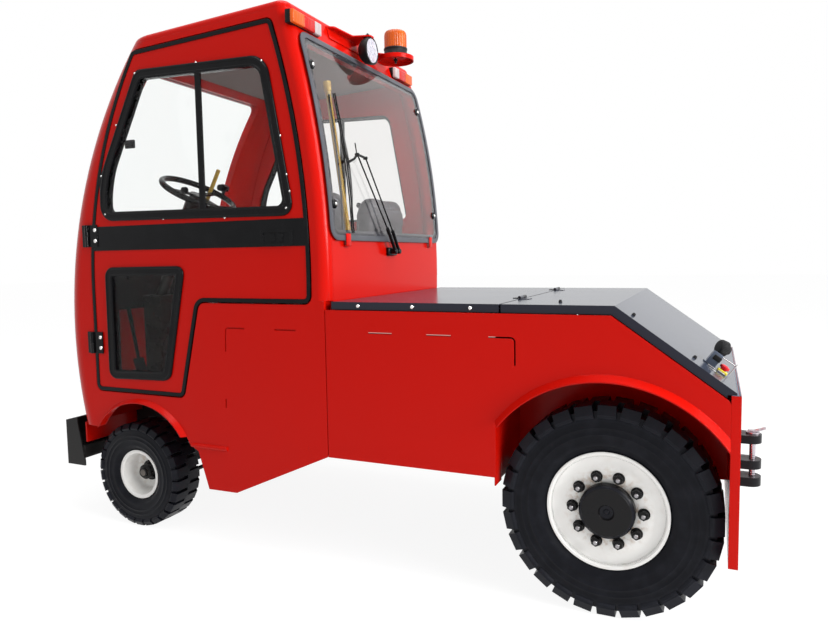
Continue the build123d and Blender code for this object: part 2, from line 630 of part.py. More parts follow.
def deck_plate():
    """Fixed front deck: sheet with a turned-down edge."""
    front_x = BODY_SEAM_X - 28
    back_x = HOOD_SEAM_X + HOOD_GAP / 2
    deck = block((back_x, front_x), (-DECK_HALF, DECK_HALF), (DECK_TOP_Z - DECK_EDGE, DECK_TOP_Z))
    hollow = DECK_HALF - DECK_SHEET
    deck -= block((back_x + DECK_SHEET, front_x - DECK_SHEET), (-hollow, hollow),
                  (DECK_TOP_Z - DECK_EDGE - 1, DECK_TOP_Z - DECK_SHEET))
    return deck


def hood():
    """Rear hood: flat run and slope in one sheet with turned-down edges, and its moving hinge leaves."""
    front_x = HOOD_SEAM_X - HOOD_GAP / 2
    shapes = []
    for depth, wall in ((0, 0), (DECK_SHEET, DECK_SHEET)):
        bend, end = deck_side(depth)
        low_bend, low_end = deck_side(DECK_EDGE + wall)
        shapes.append(slab(polygon((front_x - wall, DECK_TOP_Z - depth), bend, (end[0] + wall, end[1]),
                                   (low_end[0] + wall, low_end[1]), low_bend,
                                   (front_x - wall, DECK_TOP_Z - DECK_EDGE - wall)),
                           wall - DECK_HALF, DECK_HALF - wall))
    lid = shapes[0] - shapes[1]
    lid -= block((HOOD_END[0] - 50, PLATE_X + 12), (-OUTSIDE_Y, OUTSIDE_Y), (PLATE_Z[0], PLATE_Z[1] + 1))
    for y in HOOD_HINGE_Y:
        lid += hood_hinge(y)[1]
    return lid


def hood_hinge(y):
    """Fixed and moving half of one hood hinge, across the seam."""
    x = HOOD_SEAM_X
    z = DECK_TOP_Z + HOOD_HINGE_R
    half = HOOD_HINGE_LENGTH / 2
    reach, leaf = HOOD_HINGE_LEAF
    pin = rod((x, y - half, z), (x, y + half, z), HOOD_HINGE_PIN_R)
    fixed = rod((x, y - half, z), (x, y - FACE_GAP, z), HOOD_HINGE_R) + pin
    fixed += block((x, x + reach), (y - half, y - FACE_GAP), (DECK_TOP_Z, DECK_TOP_Z + leaf))
    moving = rod((x, y, z), (x, y + half, z), HOOD_HINGE_R)
    moving += block((x - reach, x), (y, y + half), (DECK_TOP_Z, DECK_TOP_Z + leaf))
    moving -= rod((x, y - half, z), (x, y + half + 1, z), HOOD_HINGE_PIN_R + FIT)
    return fixed, moving


def rear_plate():
    """Thick steel plate across the tail."""
    return block((PLATE_X - PLATE_THICK, PLATE_X), (-HALF_WIDTH, HALF_WIDTH), PLATE_Z)


def hitch_jaws():
    """Stepped towing hitch: back plate and three jaw plates drilled for the pin."""
    face_x = PLATE_X - PLATE_THICK
    low_z = JAWS[2][0] - 26
    high_z = JAWS[0][1] + 26
    hitch = block((face_x - JAW_BACK, face_x), (-JAW_HALF - 12, JAW_HALF + 12), (low_z, high_z))
    tip = JAW_TIP_X + JAW_HALF
    for low, high in JAWS:
        hitch += block((tip, face_x - JAW_BACK), (-JAW_HALF, JAW_HALF), (low, high))
        hitch += rod((tip, 0, low), (tip, 0, high), JAW_HALF)
    return hitch - rod((PIN_X, 0, low_z), (PIN_X, 0, high_z), PIN_HOLE_R)


def hitch_pin():
    """Lift-out pin with a flat head that rests on the top jaw and a lever that rises to the rear."""
    seat_z = JAWS[0][1] + FACE_GAP
    head_z = seat_z + PIN_HEAD
    pin = rod((PIN_X, 0, JAWS[2][0] - 12), (PIN_X, 0, head_z), PIN_R)
    pin = chamfer(pin.faces().sort_by(Axis.Z)[0].edges(), 3)
    pin += rod((PIN_X, 0, seat_z), (PIN_X, 0, head_z), PIN_HEAD_R)
    start = PIN_X + PIN_HEAD_R - 8
    bend = PIN_X - 6
    tip = PIN_X - PIN_LEVER
    side = polygon((start, head_z - 1), (start, head_z + 6), (bend, head_z + 6), (tip, head_z + PIN_LEVER_RISE),
                   (tip, head_z + PIN_LEVER_RISE - 6), (bend, head_z - 1))
    return pin + slab(side, -PIN_LEVER_HALF, PIN_LEVER_HALF)


def chassis():
    """Two rails with cross members and two bulkheads that carry the side sheets and deck."""
    frame = None
    horn_x = RAIL_END_X - 40
    for side in (-1, 1):
        y = sorted((side * RAIL_Y[0], side * RAIL_Y[1]))
        rail = block((PLATE_X, RAIL_END_X), y, RAIL_Z)
        rail += block((horn_x, FRONT_WALL_X), y, (HORN_LOW_Z, CAB_BASE_Z - 1))
        rail += block((horn_x, FRONT_WALL_X + FLOOR_SHEET), y, (HORN_LOW_Z, WALL_LOW_Z - 1))
        frame = rail if frame is None else frame + rail
    for x in (PLATE_X, REAR_ARCH_FRONT_X - 137, BODY_SEAM_X + 112, WHEELBASE - 400, horn_x):
        frame += block((x, x + 40), (-RAIL_Y[0] - 1, RAIL_Y[0] + 1), (RAIL_Z[0] + 50, RAIL_Z[1] - 10))
    for x in BULKHEAD_X:
        outer = HALF_WIDTH - SHEET
        frame += block((x, x + BULKHEAD), (-outer, outer), (SILL_Z + 7, PANEL_TOP_Z - 1))
        inner = DECK_HALF - DECK_SHEET - 1
        frame += block((x, x + BULKHEAD), (-inner, inner), (PANEL_TOP_Z - 2, DECK_TOP_Z - DECK_SHEET))
    return frame


def battery():
    """Traction battery as one plain block on the rails."""
    x = (BULKHEAD_X[0] + BULKHEAD_X[1] + BULKHEAD) / 2
    return Pos(x, 0, RAIL_Z[1] + BATTERY_HEIGHT / 2) * Box(BATTERY_LENGTH, BATTERY_WIDTH, BATTERY_HEIGHT)


def bumper():
    """Black steel bumper: front and top plate between wedge-shaped end plates, on a cross beam."""
    front = BUMPER_FRONT_X
    back = FRONT_WALL_X + FLOOR_SHEET
    low, high = BUMPER_Z
    top_x = back + BUMPER_TOP_BACK[0]
    top_z = BUMPER_TOP_BACK[1]
    w = BUMPER_WALL
    outline = polygon((front, low), (front, high), (top_x, top_z), (top_x, BUMPER_END_Z[1]),
                      (back, BUMPER_END_Z[0]), (back, low))
    inner = polygon((front - w, low - w), (front - w, high - w), (top_x, top_z - w), (back - w, top_z - w),
                    (back - w, low - w))
    half = BUMPER_HALF - w
    shell = slab(outline, -BUMPER_HALF, BUMPER_HALF) - slab(inner, -half, half)
    return shell + block((back, back + BUMPER_BEAM), (-half - 1, half + 1), BUMPER_BEAM_Z)


# Wheels, drawn for the left with Y outward and then placed

def tyre(radius, width, rim_r, bead_r, tread):
    """Tyre with curved walls and a ring of lugs on each side, half a pitch apart."""
    count, lug_width, groove, reach = tread
    half = width / 2
    wall = half - LUG_PROUD
    bead = half * BEAD_SHARE
    crown = 0.8 * half
    low_r = radius - reach
    left = ThreePointArc((rim_r + 1, bead), (0.5 * (rim_r + low_r), wall), (low_r - 4, wall - 2))
    right = ThreePointArc((rim_r + 1, -bead), (0.5 * (rim_r + low_r), -wall), (low_r - 4, 2 - wall))
    tread_line = Polyline((low_r - 4, wall - 2), (radius - groove, crown), (radius - groove, -crown),
                          (low_r - 4, 2 - wall))
    bead_line = Polyline((rim_r + 1, -bead), (bead_r, -bead), (bead_r, bead), (rim_r + 1, bead))
    carcass = revolve(make_face(left + tread_line + right + bead_line), axis=Axis.Y)
    floor_r = radius - groove - 5
    lug = ring_turned((low_r, wall - 8), (low_r + 10, half), (0.91 * radius, half), (radius, 0.84 * half),
                      (radius, -LUG_PAST_CENTRE), (floor_r, -LUG_PAST_CENTRE), (floor_r, 0.7 * half),
                      (low_r, wall - 16))
    lug &= block((-lug_width / 2, lug_width / 2), (-half, half + 1), (low_r - 10, radius + 1))
    pitch = 360 / count
    lugs = [Rot(0, i * pitch, 0) * lug for i in range(count)]
    other = mirror(lug, about=Plane.XZ)
    lugs += [Rot(0, (i + 0.5) * pitch, 0) * other for i in range(count)]
    return carcass + lugs


def rear_rim():
    """Dished steel rim with a flat disc and a centre hole for the hub."""
    bead = REAR_BEAD_R
    edge = REAR_TYRE_WIDTH / 2 * BEAD_SHARE + 8
    disc_y = REAR_DISC_Y - REAR_TYRE_Y
    centre = REAR_HUB_R - 20
    return ring_turned((centre, disc_y - 10), (bead - 12, disc_y - 10), (bead - 12, -edge),
                       (REAR_RIM_R, -edge), (REAR_RIM_R, -edge + 7), (bead - 0.4, -edge + 7),
                       (bead - 0.4, edge - 7), (REAR_RIM_R, edge - 7), (REAR_RIM_R, edge),
                       (bead - 12, edge), (bead - 20, disc_y), (centre, disc_y))


def rear_hub():
    """Hub that turns on the axle end, with its flange behind the disc and round cap in front."""
    disc_y = REAR_DISC_Y - REAR_TYRE_Y
    barrel = REAR_HUB_R - 24
    bore = REAR_SPINDLE_R + FIT
    flange = REAR_HUB_R + 46
    return ring_turned((bore, disc_y - 95), (barrel, disc_y - 95), (barrel, disc_y - 30),
                       (flange, disc_y - 30), (flange, disc_y - 10), (REAR_HUB_R - 20.5, disc_y - 10),
                       (REAR_HUB_R - 20.5, disc_y), (REAR_HUB_R, disc_y), (REAR_HUB_R, disc_y + 28),
                       (REAR_HUB_R - 14, disc_y + 40), (30, disc_y + 40), (24, disc_y + 30),
                       (0, disc_y + 30), (0, disc_y + 2), (bore, disc_y + 2))


def front_rim():
    """Deep dished rim whose disc lies near the inner side."""
    bead = FRONT_BEAD_R
    edge = FRONT_TYRE_WIDTH / 2 * BEAD_SHARE + 6
    centre = FRONT_HUB_R - 12
    return ring_turned((centre, -28), (bead - 10, -28), (bead - 10, -edge), (FRONT_RIM_R, -edge),
                       (FRONT_RIM_R, -edge + 6), (bead - 0.4, -edge + 6), (bead - 0.4, edge - 6),
                       (FRONT_RIM_R, edge - 6), (FRONT_RIM_R, edge), (bead - 9, edge), (bead - 18, -18),
                       (centre, -18))


def front_hub():
    """Front hub that turns on the knuckle's spindle."""
    bore = FRONT_SPINDLE_R + FIT
    return ring_turned((bore, -42), (FRONT_HUB_R, -42), (FRONT_HUB_R, -28), (FRONT_HUB_R - 12.5, -28),
                       (FRONT_HUB_R - 12.5, -18), (FRONT_HUB_R - 2, -18), (FRONT_HUB_R - 2, -8),
                       (FRONT_HUB_R - 15, -2), (FRONT_HUB_R - 17, 30), (28, 34), (24, 46), (0, 46),
                       (0, 26), (bore, 26))


def knuckle():
    """Left steering knuckle: kingpin, spindle and the arm to the tie rod."""
    x = WHEELBASE
    y = KINGPIN_Y
    z = FRONT_AXLE_Z
    arm_x = x - TIE_ROD_BACK
    body = rod((x, y, z - 37.7), (x, y, z + 37.7), 24)
    body += rod((x, y, z), (x, FRONT_TYRE_Y - 42 - FACE_GAP, z), 30)
    body += rod((x, y, z), (x, FRONT_TYRE_Y + 22, z), FRONT_SPINDLE_R)
    body += rod((x, y, z - 62), (x, y, z + 62), KINGPIN_R)
    body += block((arm_x, x), (y - 10, y + 10), (z - 34, z - 16))
    body += rod((arm_x, y, z - 34), (arm_x, y, z - 16), TIE_EYE_R)
    body += rod((arm_x, y, z - 64), (arm_x, y, z - 16), TIE_PIN_R)
    return body


def tie_rod():
    """Straight bar with an eye on each steering arm's pin."""
    x = WHEELBASE - TIE_ROD_BACK
    z = (FRONT_AXLE_Z - 64, FRONT_AXLE_Z - 34 - FACE_GAP)
    middle = (z[0] + z[1]) / 2
    bar = rod((x, -KINGPIN_Y, middle), (x, KINGPIN_Y, middle), TIE_ROD_R)
    for side, clearance in ((1, FIT), (-1, TIE_PLAY)):
        y = side * KINGPIN_Y
        bar += rod((x, y, z[0]), (x, y, z[1]), TIE_EYE_R)
        bar -= rod((x, y, z[0] - 5), (x, y, z[1] + 5), TIE_PIN_R + clearance)
    return bar


def front_axle():
    """Beam under the rails with a forked eye for each kingpin."""
    x = WHEELBASE
    z = FRONT_AXLE_Z
    fork = KINGPIN_Y - YOKE_GAP
    beam = block((x - 32, x + 32), (6 - fork, fork - 6), (z - 34, z + 34))
    for side in (-1, 1):
        y = side * KINGPIN_Y
        near, far = sorted((side * (fork - 5), y))
        for low, high in ((z - 62, z - 38), (z + 38, z + 62)):
            beam += block((x - 24, x + 24), (near, far), (low, high)) + rod((x, y, low), (x, y, high), 24)
        near, far = sorted((side * (fork - 35), side * fork))
        beam += block((x - 24, x + 24), (near, far), (z - 62, z + 62))
        beam -= rod((x, y, z - 70), (x, y, z + 70), KINGPIN_R + FIT)
        near, far = sorted((side * RAIL_Y[0], side * RAIL_Y[1]))
        beam += block((x - 45, x + 45), (near, far), (z + 34, RAIL_Z[0]))
    return beam


def rear_axle():
    """Drive axle: tube, gear housing and motor, with a spindle for each wheel."""
    z = REAR_AXLE_Z
    end = REAR_DISC_Y - 2
    tube = REAR_DISC_Y - 100
    axle = rod((0, -tube, z), (0, tube, z), 55)
    axle += rod((0, -end, z), (0, end, z), REAR_SPINDLE_R)
    axle += Pos(0, 0, z) * Sphere(140) - block((-200, 200), (-200, 200), (RAIL_Z[0] + 30, DECK_TOP_Z))
    axle += rod((60, 0, z + 10), (270, 0, z + 10), 105)
    for side in (-1, 1):
        near, far = sorted((side * RAIL_Y[0], side * RAIL_Y[1]))
        axle += block((-60, 60), (near, far), (z, RAIL_Z[0]))
    return axle


# Cab fittings

def seat(side):
    """One seat: cushion and rounded back as two pads."""
    y = side * SEAT_Y
    half = SEAT_WIDTH / 2
    base_z = SEAT_SHELF_Z + SEAT_BOX[1]
    pad_z = base_z + PAD_HEIGHT
    front = SEAT_BACK_X + 75
    pad = block((front, front + PAD_LENGTH), (y - half, y + half), (base_z, pad_z))
    pad = fillet(pad.edges().filter_by(Axis.Z) + pad.edges().group_by(Axis.Z)[-1], 30)
    back = block((SEAT_BACK_X, SEAT_BACK_X + BACK_THICK), (y - half, y + half), (pad_z, SEAT_TOP_Z))
    top = [e for e in back.edges().filter_by(Axis.X) if e.center().Z > pad_z + 1]
    back = fillet(top, 120)
    foot = Pos(SEAT_BACK_X + BACK_THICK, y, pad_z)
    back = Pos(14, 0, PAD_GAP) * foot * Rot(0, -SEAT_LEAN, 0) * foot.inverse() * back
    return Compound(children=pad.solids() + back.solids())


def dash():
    """Instrument panel across the cab."""
    half = HALF_WIDTH - CAB_WALL - 1
    return slab(polygon(*DASH), -half, half) & rounded_cab(CAB_WALL + 1, half, FLOOR_Z)


def steering_column():
    """Black shroud from the dash to the steering wheel hub, on a floor post."""
    x, y, z = STEERING_CENTRE
    lean = radians(STEERING_TILT)
    direction = (sin(lean), 0, -cos(lean))
    start = (x + (40 + FACE_GAP) * direction[0], y, z + (40 + FACE_GAP) * direction[2])
    foot = (x + 620 * direction[0], y, z + 620 * direction[2])
    column = rod(start, (x + 260 * direction[0], y, z + 260 * direction[2]), 48)
    column += rod(start, foot, 30)
    column += block((foot[0] - 60, foot[0] + 60), (y - 60, y + 60), (FLOOR_Z, foot[2] + 20))
    return column


def steering_wheel():
    """Rim, three spokes, hub and spinner knob."""
    wheel = Torus(STEERING_R - STEERING_GRIP_R, STEERING_GRIP_R)
    wheel += Pos(0, 0, -22) * Cylinder(38, 36)
    for angle in (75, 180, 285):
        spoke = Pos((STEERING_R - 10) / 2 + 8, 0, -8) * Box(STEERING_R - 40, 26, 10)
        wheel += Rot(0, 0, angle) * spoke
    knob = Pos(0, -STEERING_R + STEERING_GRIP_R, 28) * (Cylinder(9, 40) + Pos(0, 0, 22) * Cylinder(22, 26))
    wheel += knob
    return Pos(*STEERING_CENTRE) * Rot(0, -STEERING_TILT, 0) * wheel


def pedals():
    """Two pedals that hang from the dash on flat arms."""
    low, high = PEDAL_Z
    pieces = []
    for y in PEDAL_PLACES:
        arm = polygon((PEDAL_X, low), (PEDAL_X + 14, low), (PEDAL_X + 84, high), (PEDAL_X + 60, high))
        pad = polygon((PEDAL_X - 16, low - 34), (PEDAL_X - 4, low - 38), (PEDAL_X + 24, low + 36),
                      (PEDAL_X + 12, low + 40))
        pedal = slab(arm, y - 5, y + 5) + slab(pad, y - 32, y + 32)
        pieces.append(largest(pedal - slab(polygon(*DASH), y - 50, y + 50)))
    return Compound(children=pieces)


def grab_post():
    """Yellow post inside the rear window, on a foot against the rear wall."""
    y = GRAB_POST_Y
    low = 1450
    foot_x = rear_x(low, CAB_WALL)
    top_x = rear_x(2180) + 62
    post = rod((foot_x + 18, y, low), (top_x, y + 7, 2180), GRAB_BAR_R)
    post += rod((top_x - 4, y + 7, 2150), (top_x + 1, y + 7, 2195), GRAB_BAR_R + 5)
    foot = block((foot_x - 10, foot_x + 30), (y - 20, y + 20), (low - 20, low + 20))
    return post + (foot & slab(disc(CAB_REAR_CENTRE, CAB_REAR_R - CAB_WALL), y - 38, y + 62))


# Lamps and small outside parts

def head_lamps():
    """Two round lamps that stand out of the front panel."""
    lamps = []
    face_x = front_x(HEAD_LAMP_Z)
    for side in (-1, 1):
        y = side * HEAD_LAMP_Y
        lamp = rod((face_x - 6, y, HEAD_LAMP_Z), (face_x + 30, y, HEAD_LAMP_Z), HEAD_LAMP_R)
        lamps.append(largest(lamp - cab_block()))
    return Compound(children=lamps)


def tail_lamps():
    """Two lamps under the roof's rear edge, each with an amber, a red and a clear part on a base."""
    x = rear_x(TAIL_LAMP_Z[1])
    lamps = []
    for y, outward in zip(TAIL_LAMP_Y, (1, -1)):
        width = sum(TAIL_LENSES)
        lamp = block((x - 12, x + 30), (y - width / 2, y + width / 2), TAIL_LAMP_Z)
        edge = y + outward * width / 2
        for lens in TAIL_LENSES:
            near, far = sorted((edge - outward * 1.5, edge - outward * (lens - 1.5)))
            part = block((x - TAIL_LAMP_DEPTH, x - 11), (near, far), (TAIL_LAMP_Z[0] + 3, TAIL_LAMP_Z[1] - 3))
            lamp += chamfer(part.faces().sort_by(Axis.X)[0].edges(), 5)
            edge -= outward * lens
        lamps.append(largest(lamp - cab_block()))
    return Compound(children=lamps)


def lamp_bracket():
    """Red bracket on the roof's rear edge: a pressed arm for the work lamp and a plate for the beacon."""
    wall = rear_x(BRACKET_Z)
    arm_x = wall - 128
    plan = polygon((wall + 20, WORK_LAMP_Y + 240), (wall - 34, WORK_LAMP_Y + 205),
                   (wall - 46, WORK_LAMP_Y + 50), (arm_x, WORK_LAMP_Y + 22), (arm_x, WORK_LAMP_Y - 22),
                   (wall - 40, WORK_LAMP_Y - 40), (wall + 20, WORK_LAMP_Y - 110))
    bracket = Pos(0, 0, BRACKET_Z) * extrude(fillet(plan.vertices()[1:6], 14), 7)
    foot = rear_skin(-1, 5) & block((CAB_BEHIND_X, CAB_MIDDLE_X), (WORK_LAMP_Y - 130, WORK_LAMP_Y + 230),
                                    (BEACON_Z - 24, BRACKET_Z + 2))
    bracket += foot
    x = beacon_x()
    strap = polygon((wall + 20, WORK_LAMP_Y - 45), (wall + 20, WORK_LAMP_Y - 125), (x + 30, BEACON_Y - 30),
                    (x - 20, BEACON_Y + 50))
    bracket += Pos(0, 0, BEACON_Z - 4) * extrude(strap, 4)
    plate = Pos(x, BEACON_Y, BEACON_Z - 11) * (Cylinder(BEACON_PLATE_R, 22)
                                               - Pos(0, 0, -4) * Cylinder(BEACON_PLATE_R - 4, 22))
    return largest(bracket + plate - cab_block())


def beacon_x():
    """X of the beacon's axis, behind the rear wall."""
    return rear_x(BEACON_Z) - 118


def work_lamp():
    """Round work lamp that hangs under the bracket's arm and faces back."""
    x = rear_x(BRACKET_Z)
    y = WORK_LAMP_Y
    z = WORK_LAMP_Z
    lamp = rod((x - 124, y, z), (x - 100, y, z), WORK_LAMP_R)
    lamp += rod((x - 101, y, z), (x - 62, y, z), WORK_LAMP_R - 9)
    lamp += rod((x - 63, y, z), (x - 46, y, z), WORK_LAMP_R - 22)
    return lamp + rod((x - 106, y, z + WORK_LAMP_R - 14), (x - 106, y, BRACKET_Z), 9)


def beacon():
    """Amber beacon on a black base."""
    place = Pos(beacon_x(), BEACON_Y, BEACON_Z)
    lens = fillet(Cylinder(BEACON_R, 90).faces().sort_by(Axis.Z)[-1].edges(), 10)
    return place * (Pos(0, 0, 23) * Cylinder(BEACON_R + 3, 46) + Pos(0, 0, 90) * lens)


def rear_wiper():
    """Motor cover, twin arm and blade on the rear window."""
    low = 1409
    x = rear_x(low) - 1
    y = 15
    tip = (rear_x(1857) - 36, y + 293, 1857)
    cover = rod((x, y, low), (x - 45, y, low), 28)
    arm = rod((x - 38, y, low), tip, 7)
    blade = rear_skin(RIM_RUBBER + REAR_GLASS + 0.5, RIM_RUBBER + REAR_GLASS + 17)
    blade &= block((CAB_BEHIND_X, CAB_MIDDLE_X), (y + 371, y + 381), (1500, 2100))
    link = rod(tip, (rear_x(1800) - 18, y + 376, 1800), 6)
    return cover + arm + blade + link


def stop_switch():
    """Emergency stop on the hood's slope: folded bracket with a knob, and a box with the button."""
    bracket = fillet(window(-34, 60, 0, 74).vertices().sort_by(Axis.Y)[2:], 24)
    guard = slab(bracket, -46, -40)
    box = block((-30, 34), (-41, 22), (0, 46))
    button = Pos(2, -8, 46) * (Pos(0, 0, 5) * Cylinder(22, 12) + Pos(0, 0, 20) * Cylinder(9, 20)
                               + Pos(0, 0, 33) * Cylinder(20, 12))
    knob = rod((14, -52, 52), (14, -84, 52), 27)
    stem = rod((14, -44, 52), (14, -60, 52), 12)
    along = 0.84
    x = HOOD_BEND_X + along * (HOOD_END[0] - HOOD_BEND_X)
    z = DECK_TOP_Z + along * (HOOD_END[1] - DECK_TOP_Z)
    unit = guard + box + button + knob + stem
    return Pos(x, HALF_WIDTH - 200, z) * Rot(0, -degrees(atan(HOOD_SLOPE)), 0) * unit


def both(shape):
    """The left piece and its mirror image on the right."""
    return shape, mirror(shape, about=Plane.XZ)


def main():
    """Build and write every node."""
    os.makedirs("parts", exist_ok=True)
    rear = Pos(0, REAR_TYRE_Y, REAR_AXLE_Z)
    front = Pos(WHEELBASE, FRONT_TYRE_Y, FRONT_AXLE_Z)
    pairs = {"cab_side": cab_side(), "side_panel": side_panel(), "wheelhouse": wheelhouse(),
             "door": door_leaf(), "door_trim": door_trim(), "door_glass": door_glass(), "knuckle": knuckle(),
             "rear_tyre": rear * tyre(REAR_TYRE_R, REAR_TYRE_WIDTH, REAR_RIM_R, REAR_BEAD_R, REAR_TREAD),
             "rear_rim": rear * rear_rim(),
             "rear_hub": rear * rear_hub(),
             "front_tyre": front * tyre(FRONT_TYRE_R, FRONT_TYRE_WIDTH, FRONT_RIM_R, FRONT_BEAD_R, FRONT_TREAD),
             "front_rim": front * front_rim(),
             "front_hub": front * front_hub()}
    for node, shape in pairs.items():
        for side, piece in zip(("left", "right"), both(shape)):
            save(f"{node}_{side}", piece)
    hinges = [s for z in HINGE_Z for piece in both(door_hinge(z)[0]) for s in piece.solids()]
    save("door_hinges", Compound(children=hinges))
    save("hood_hinges", Compound(children=[s for y in HOOD_HINGE_Y for s in hood_hinge(y)[0].solids()]))
    singles = {"cab_front": cab_front, "cab_rear": cab_rear, "cab_roof": cab_roof, "cab_floor": cab_floor,
               "windscreen": windscreen, "rear_glass": rear_glass, "deck_plate": deck_plate,
               "rear_hood": hood, "rear_plate": rear_plate, "hitch_jaws": hitch_jaws, "hitch_pin": hitch_pin,
               "chassis_frame": chassis, "battery_block": battery, "front_bumper": bumper,
               "front_axle": front_axle, "tie_rod": tie_rod, "rear_axle": rear_axle, "dash": dash,
               "steering_column": steering_column, "steering_wheel": steering_wheel, "pedals": pedals,
               "grab_post": grab_post, "head_lamps": head_lamps, "tail_lamps": tail_lamps,
               "lamp_bracket": lamp_bracket, "work_lamp": work_lamp, "beacon": beacon,
               "rear_wiper": rear_wiper, "stop_switch": stop_switch}
    for node, make in singles.items():
        save(node, make())
    save("seat_left", seat(1))
    save("seat_right", seat(-1))


main()
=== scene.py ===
import bmesh
import bpy
from math import cos, exp, pi, radians, sin, sqrt
from mathutils import Matrix, Vector


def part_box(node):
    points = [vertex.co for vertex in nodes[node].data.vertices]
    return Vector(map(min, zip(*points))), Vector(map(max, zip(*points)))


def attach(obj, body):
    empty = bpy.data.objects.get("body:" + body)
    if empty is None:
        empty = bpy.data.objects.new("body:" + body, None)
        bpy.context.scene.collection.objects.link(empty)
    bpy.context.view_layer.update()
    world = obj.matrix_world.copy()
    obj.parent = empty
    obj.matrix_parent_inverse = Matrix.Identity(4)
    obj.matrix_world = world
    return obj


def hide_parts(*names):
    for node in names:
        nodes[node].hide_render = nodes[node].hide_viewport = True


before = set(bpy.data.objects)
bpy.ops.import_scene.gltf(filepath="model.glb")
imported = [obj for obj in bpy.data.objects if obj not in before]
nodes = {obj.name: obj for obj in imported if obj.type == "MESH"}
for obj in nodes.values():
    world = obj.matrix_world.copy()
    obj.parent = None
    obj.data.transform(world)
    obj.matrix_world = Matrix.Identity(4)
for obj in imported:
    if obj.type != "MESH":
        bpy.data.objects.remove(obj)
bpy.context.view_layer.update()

scene = bpy.context.scene


# Red body sheets: cab frame, doors, side sheets, wheel liners, tail plate and lamp bracket.
# Steel, 5 mm at the sides, welded, powder coated in one bright red with a faint orange peel.
# The two classes wrap shader sockets and nodes, so that the maths below reads as plain expressions.

class Value:
    """A shader socket whose arithmetic adds Math nodes."""

    def __init__(self, finish, socket):
        self.finish = finish
        self.socket = socket

    def maths(self, operation, first, second):
        return self.finish.node("ShaderNodeMath", {0: first, 1: second}, operation=operation)

    def __add__(self, other):
        return self.maths("ADD", self, other)

    def __sub__(self, other):
        return self.maths("SUBTRACT", self, other)

    def __rsub__(self, other):
        return self.maths("SUBTRACT", other, self)

    def __mul__(self, other):
        return self.maths("MULTIPLY", self, other)

    def __pow__(self, other):
        return self.maths("POWER", self, other)

    __radd__ = __add__
    __rmul__ = __mul__


class Finish:
    """The nodes of a material or of the world. node() adds any node and gives back one of its outputs."""

    def __init__(self, name, kind="materials"):
        self.made = getattr(bpy.data, kind).new(name)
        self.made.use_nodes = True
        self.tree = self.made.node_tree
        self.tree.nodes.clear()
        self.place = self.node("ShaderNodeTexCoord", out="Object")

    def node(self, kind, sockets=(), out=0, **settings):
        made = self.tree.nodes.new(kind)
        for name, value in settings.items():
            setattr(made, name, value)
        for key, value in dict(sockets).items():
            socket = made.inputs[key]
            if isinstance(value, Value):
                self.tree.links.new(value.socket, socket)
            else:
                socket.default_value = (*value, 1) if socket.type == "RGBA" else value
        if made.outputs:
            return Value(self, made.outputs[out])

    def noise(self, scale, detail=3.0):
        """Noise from 0 to 1 at so many cells a metre."""
        return self.node("ShaderNodeTexNoise", {"Vector": self.place, "Scale": scale, "Detail": detail})

    def step(self, value, low, high):
        """0 at low and 1 at high, smooth between."""
        return self.node("ShaderNodeMapRange", {"Value": value, "From Min": low, "From Max": high},
                         interpolation_type="SMOOTHSTEP")

    def mix(self, mask, first, second):
        """One colour where the mask is 0 and the other where it is 1."""
        return self.node("ShaderNodeMix", {0: mask, 6: first, 7: second}, out=2, data_type="RGBA")

    def along(self, axis):
        """The X, Y or Z of the object's own coordinates."""
        return self.node("ShaderNodeSeparateXYZ", {"Vector": self.place}, out=axis)

    def upward(self):
        """1 on faces that look up, 0 on those that look sideways or down."""
        facing = self.node("ShaderNodeNewGeometry", out="Normal")
        return self.step(self.node("ShaderNodeSeparateXYZ", {"Vector": facing}, out="Z"), 0.3, 0.8)

    def relief(self, height, depth, edge=0.0):
        """Normal from a height of 0 to 1 that stands for a depth in metres, with soft edges."""
        sockets = {"Height": height, "Distance": depth}
        if edge:
            sockets["Normal"] = self.node("ShaderNodeBevel", {"Radius": edge}, samples=4)
        return self.node("ShaderNodeBump", sockets)

    def done(self, sockets):
        """Close the material with a Principled shader."""
        shader = self.node("ShaderNodeBsdfPrincipled", sockets)
        self.node("ShaderNodeOutputMaterial", {"Surface": shader})
        return self.made


RED = (0.52, 0.0042, 0.0012)
DUSTY_RED = (0.47, 0.008, 0.004)
ORANGE_PEEL = 0.00014


def painted(name, colour, worn, rough, shine, edge=0.002):
    """Powder coat: faint cloudiness, orange peel, a dusting that gathers low down, and softened edges."""
    finish = Finish(name)
    low_down = 1 - finish.step(finish.along("Z"), 0.2, 0.9)
    dust_and_painted_reflection = finish.noise(2.3) * 0.25 + low_down * finish.noise(9.0) * 0.35
    return finish.done({
        "Base Color": finish.mix(dust_and_painted_reflection, colour, worn),
        "Roughness": dust_and_painted_reflection * 0.10 + rough,
        "Specular IOR Level": shine,
        "Normal": finish.relief(finish.noise(260.0, 2.0), ORANGE_PEEL, edge)})


def paint(material, *names):
    """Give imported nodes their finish."""
    for name in names:
        slots = nodes[name].data.materials
        slots.clear()
        slots.append(material)


def pair(*stems):
    """Left and right names of paired nodes."""
    return [f"{stem}_{side}" for stem in stems for side in ("left", "right")]


red = painted("red powder coat", RED, DUSTY_RED, 0.18, 0.09, 0.004)
paint(red, "cab_front", "cab_rear", "cab_roof", "cab_floor", "rear_plate", "lamp_bracket",
      *pair("cab_side", "side_panel", "wheelhouse", "door"))


# Free edges of the flared lips over the rear wheels, cut from the 5 mm sheet.
# A thin bead of lighter red along each edge, from the lip's front to the tail plate, is a painted highlight.

low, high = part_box("rear_tyre_left")
REAR_AXLE = Vector(((low.x + high.x) / 2, 0.0, (low.z + high.z) / 2))


def at(x, y, z):
    """A place from the rear axle, the middle of the width and the floor."""
    return Vector((REAR_AXLE.x + x, y, z))


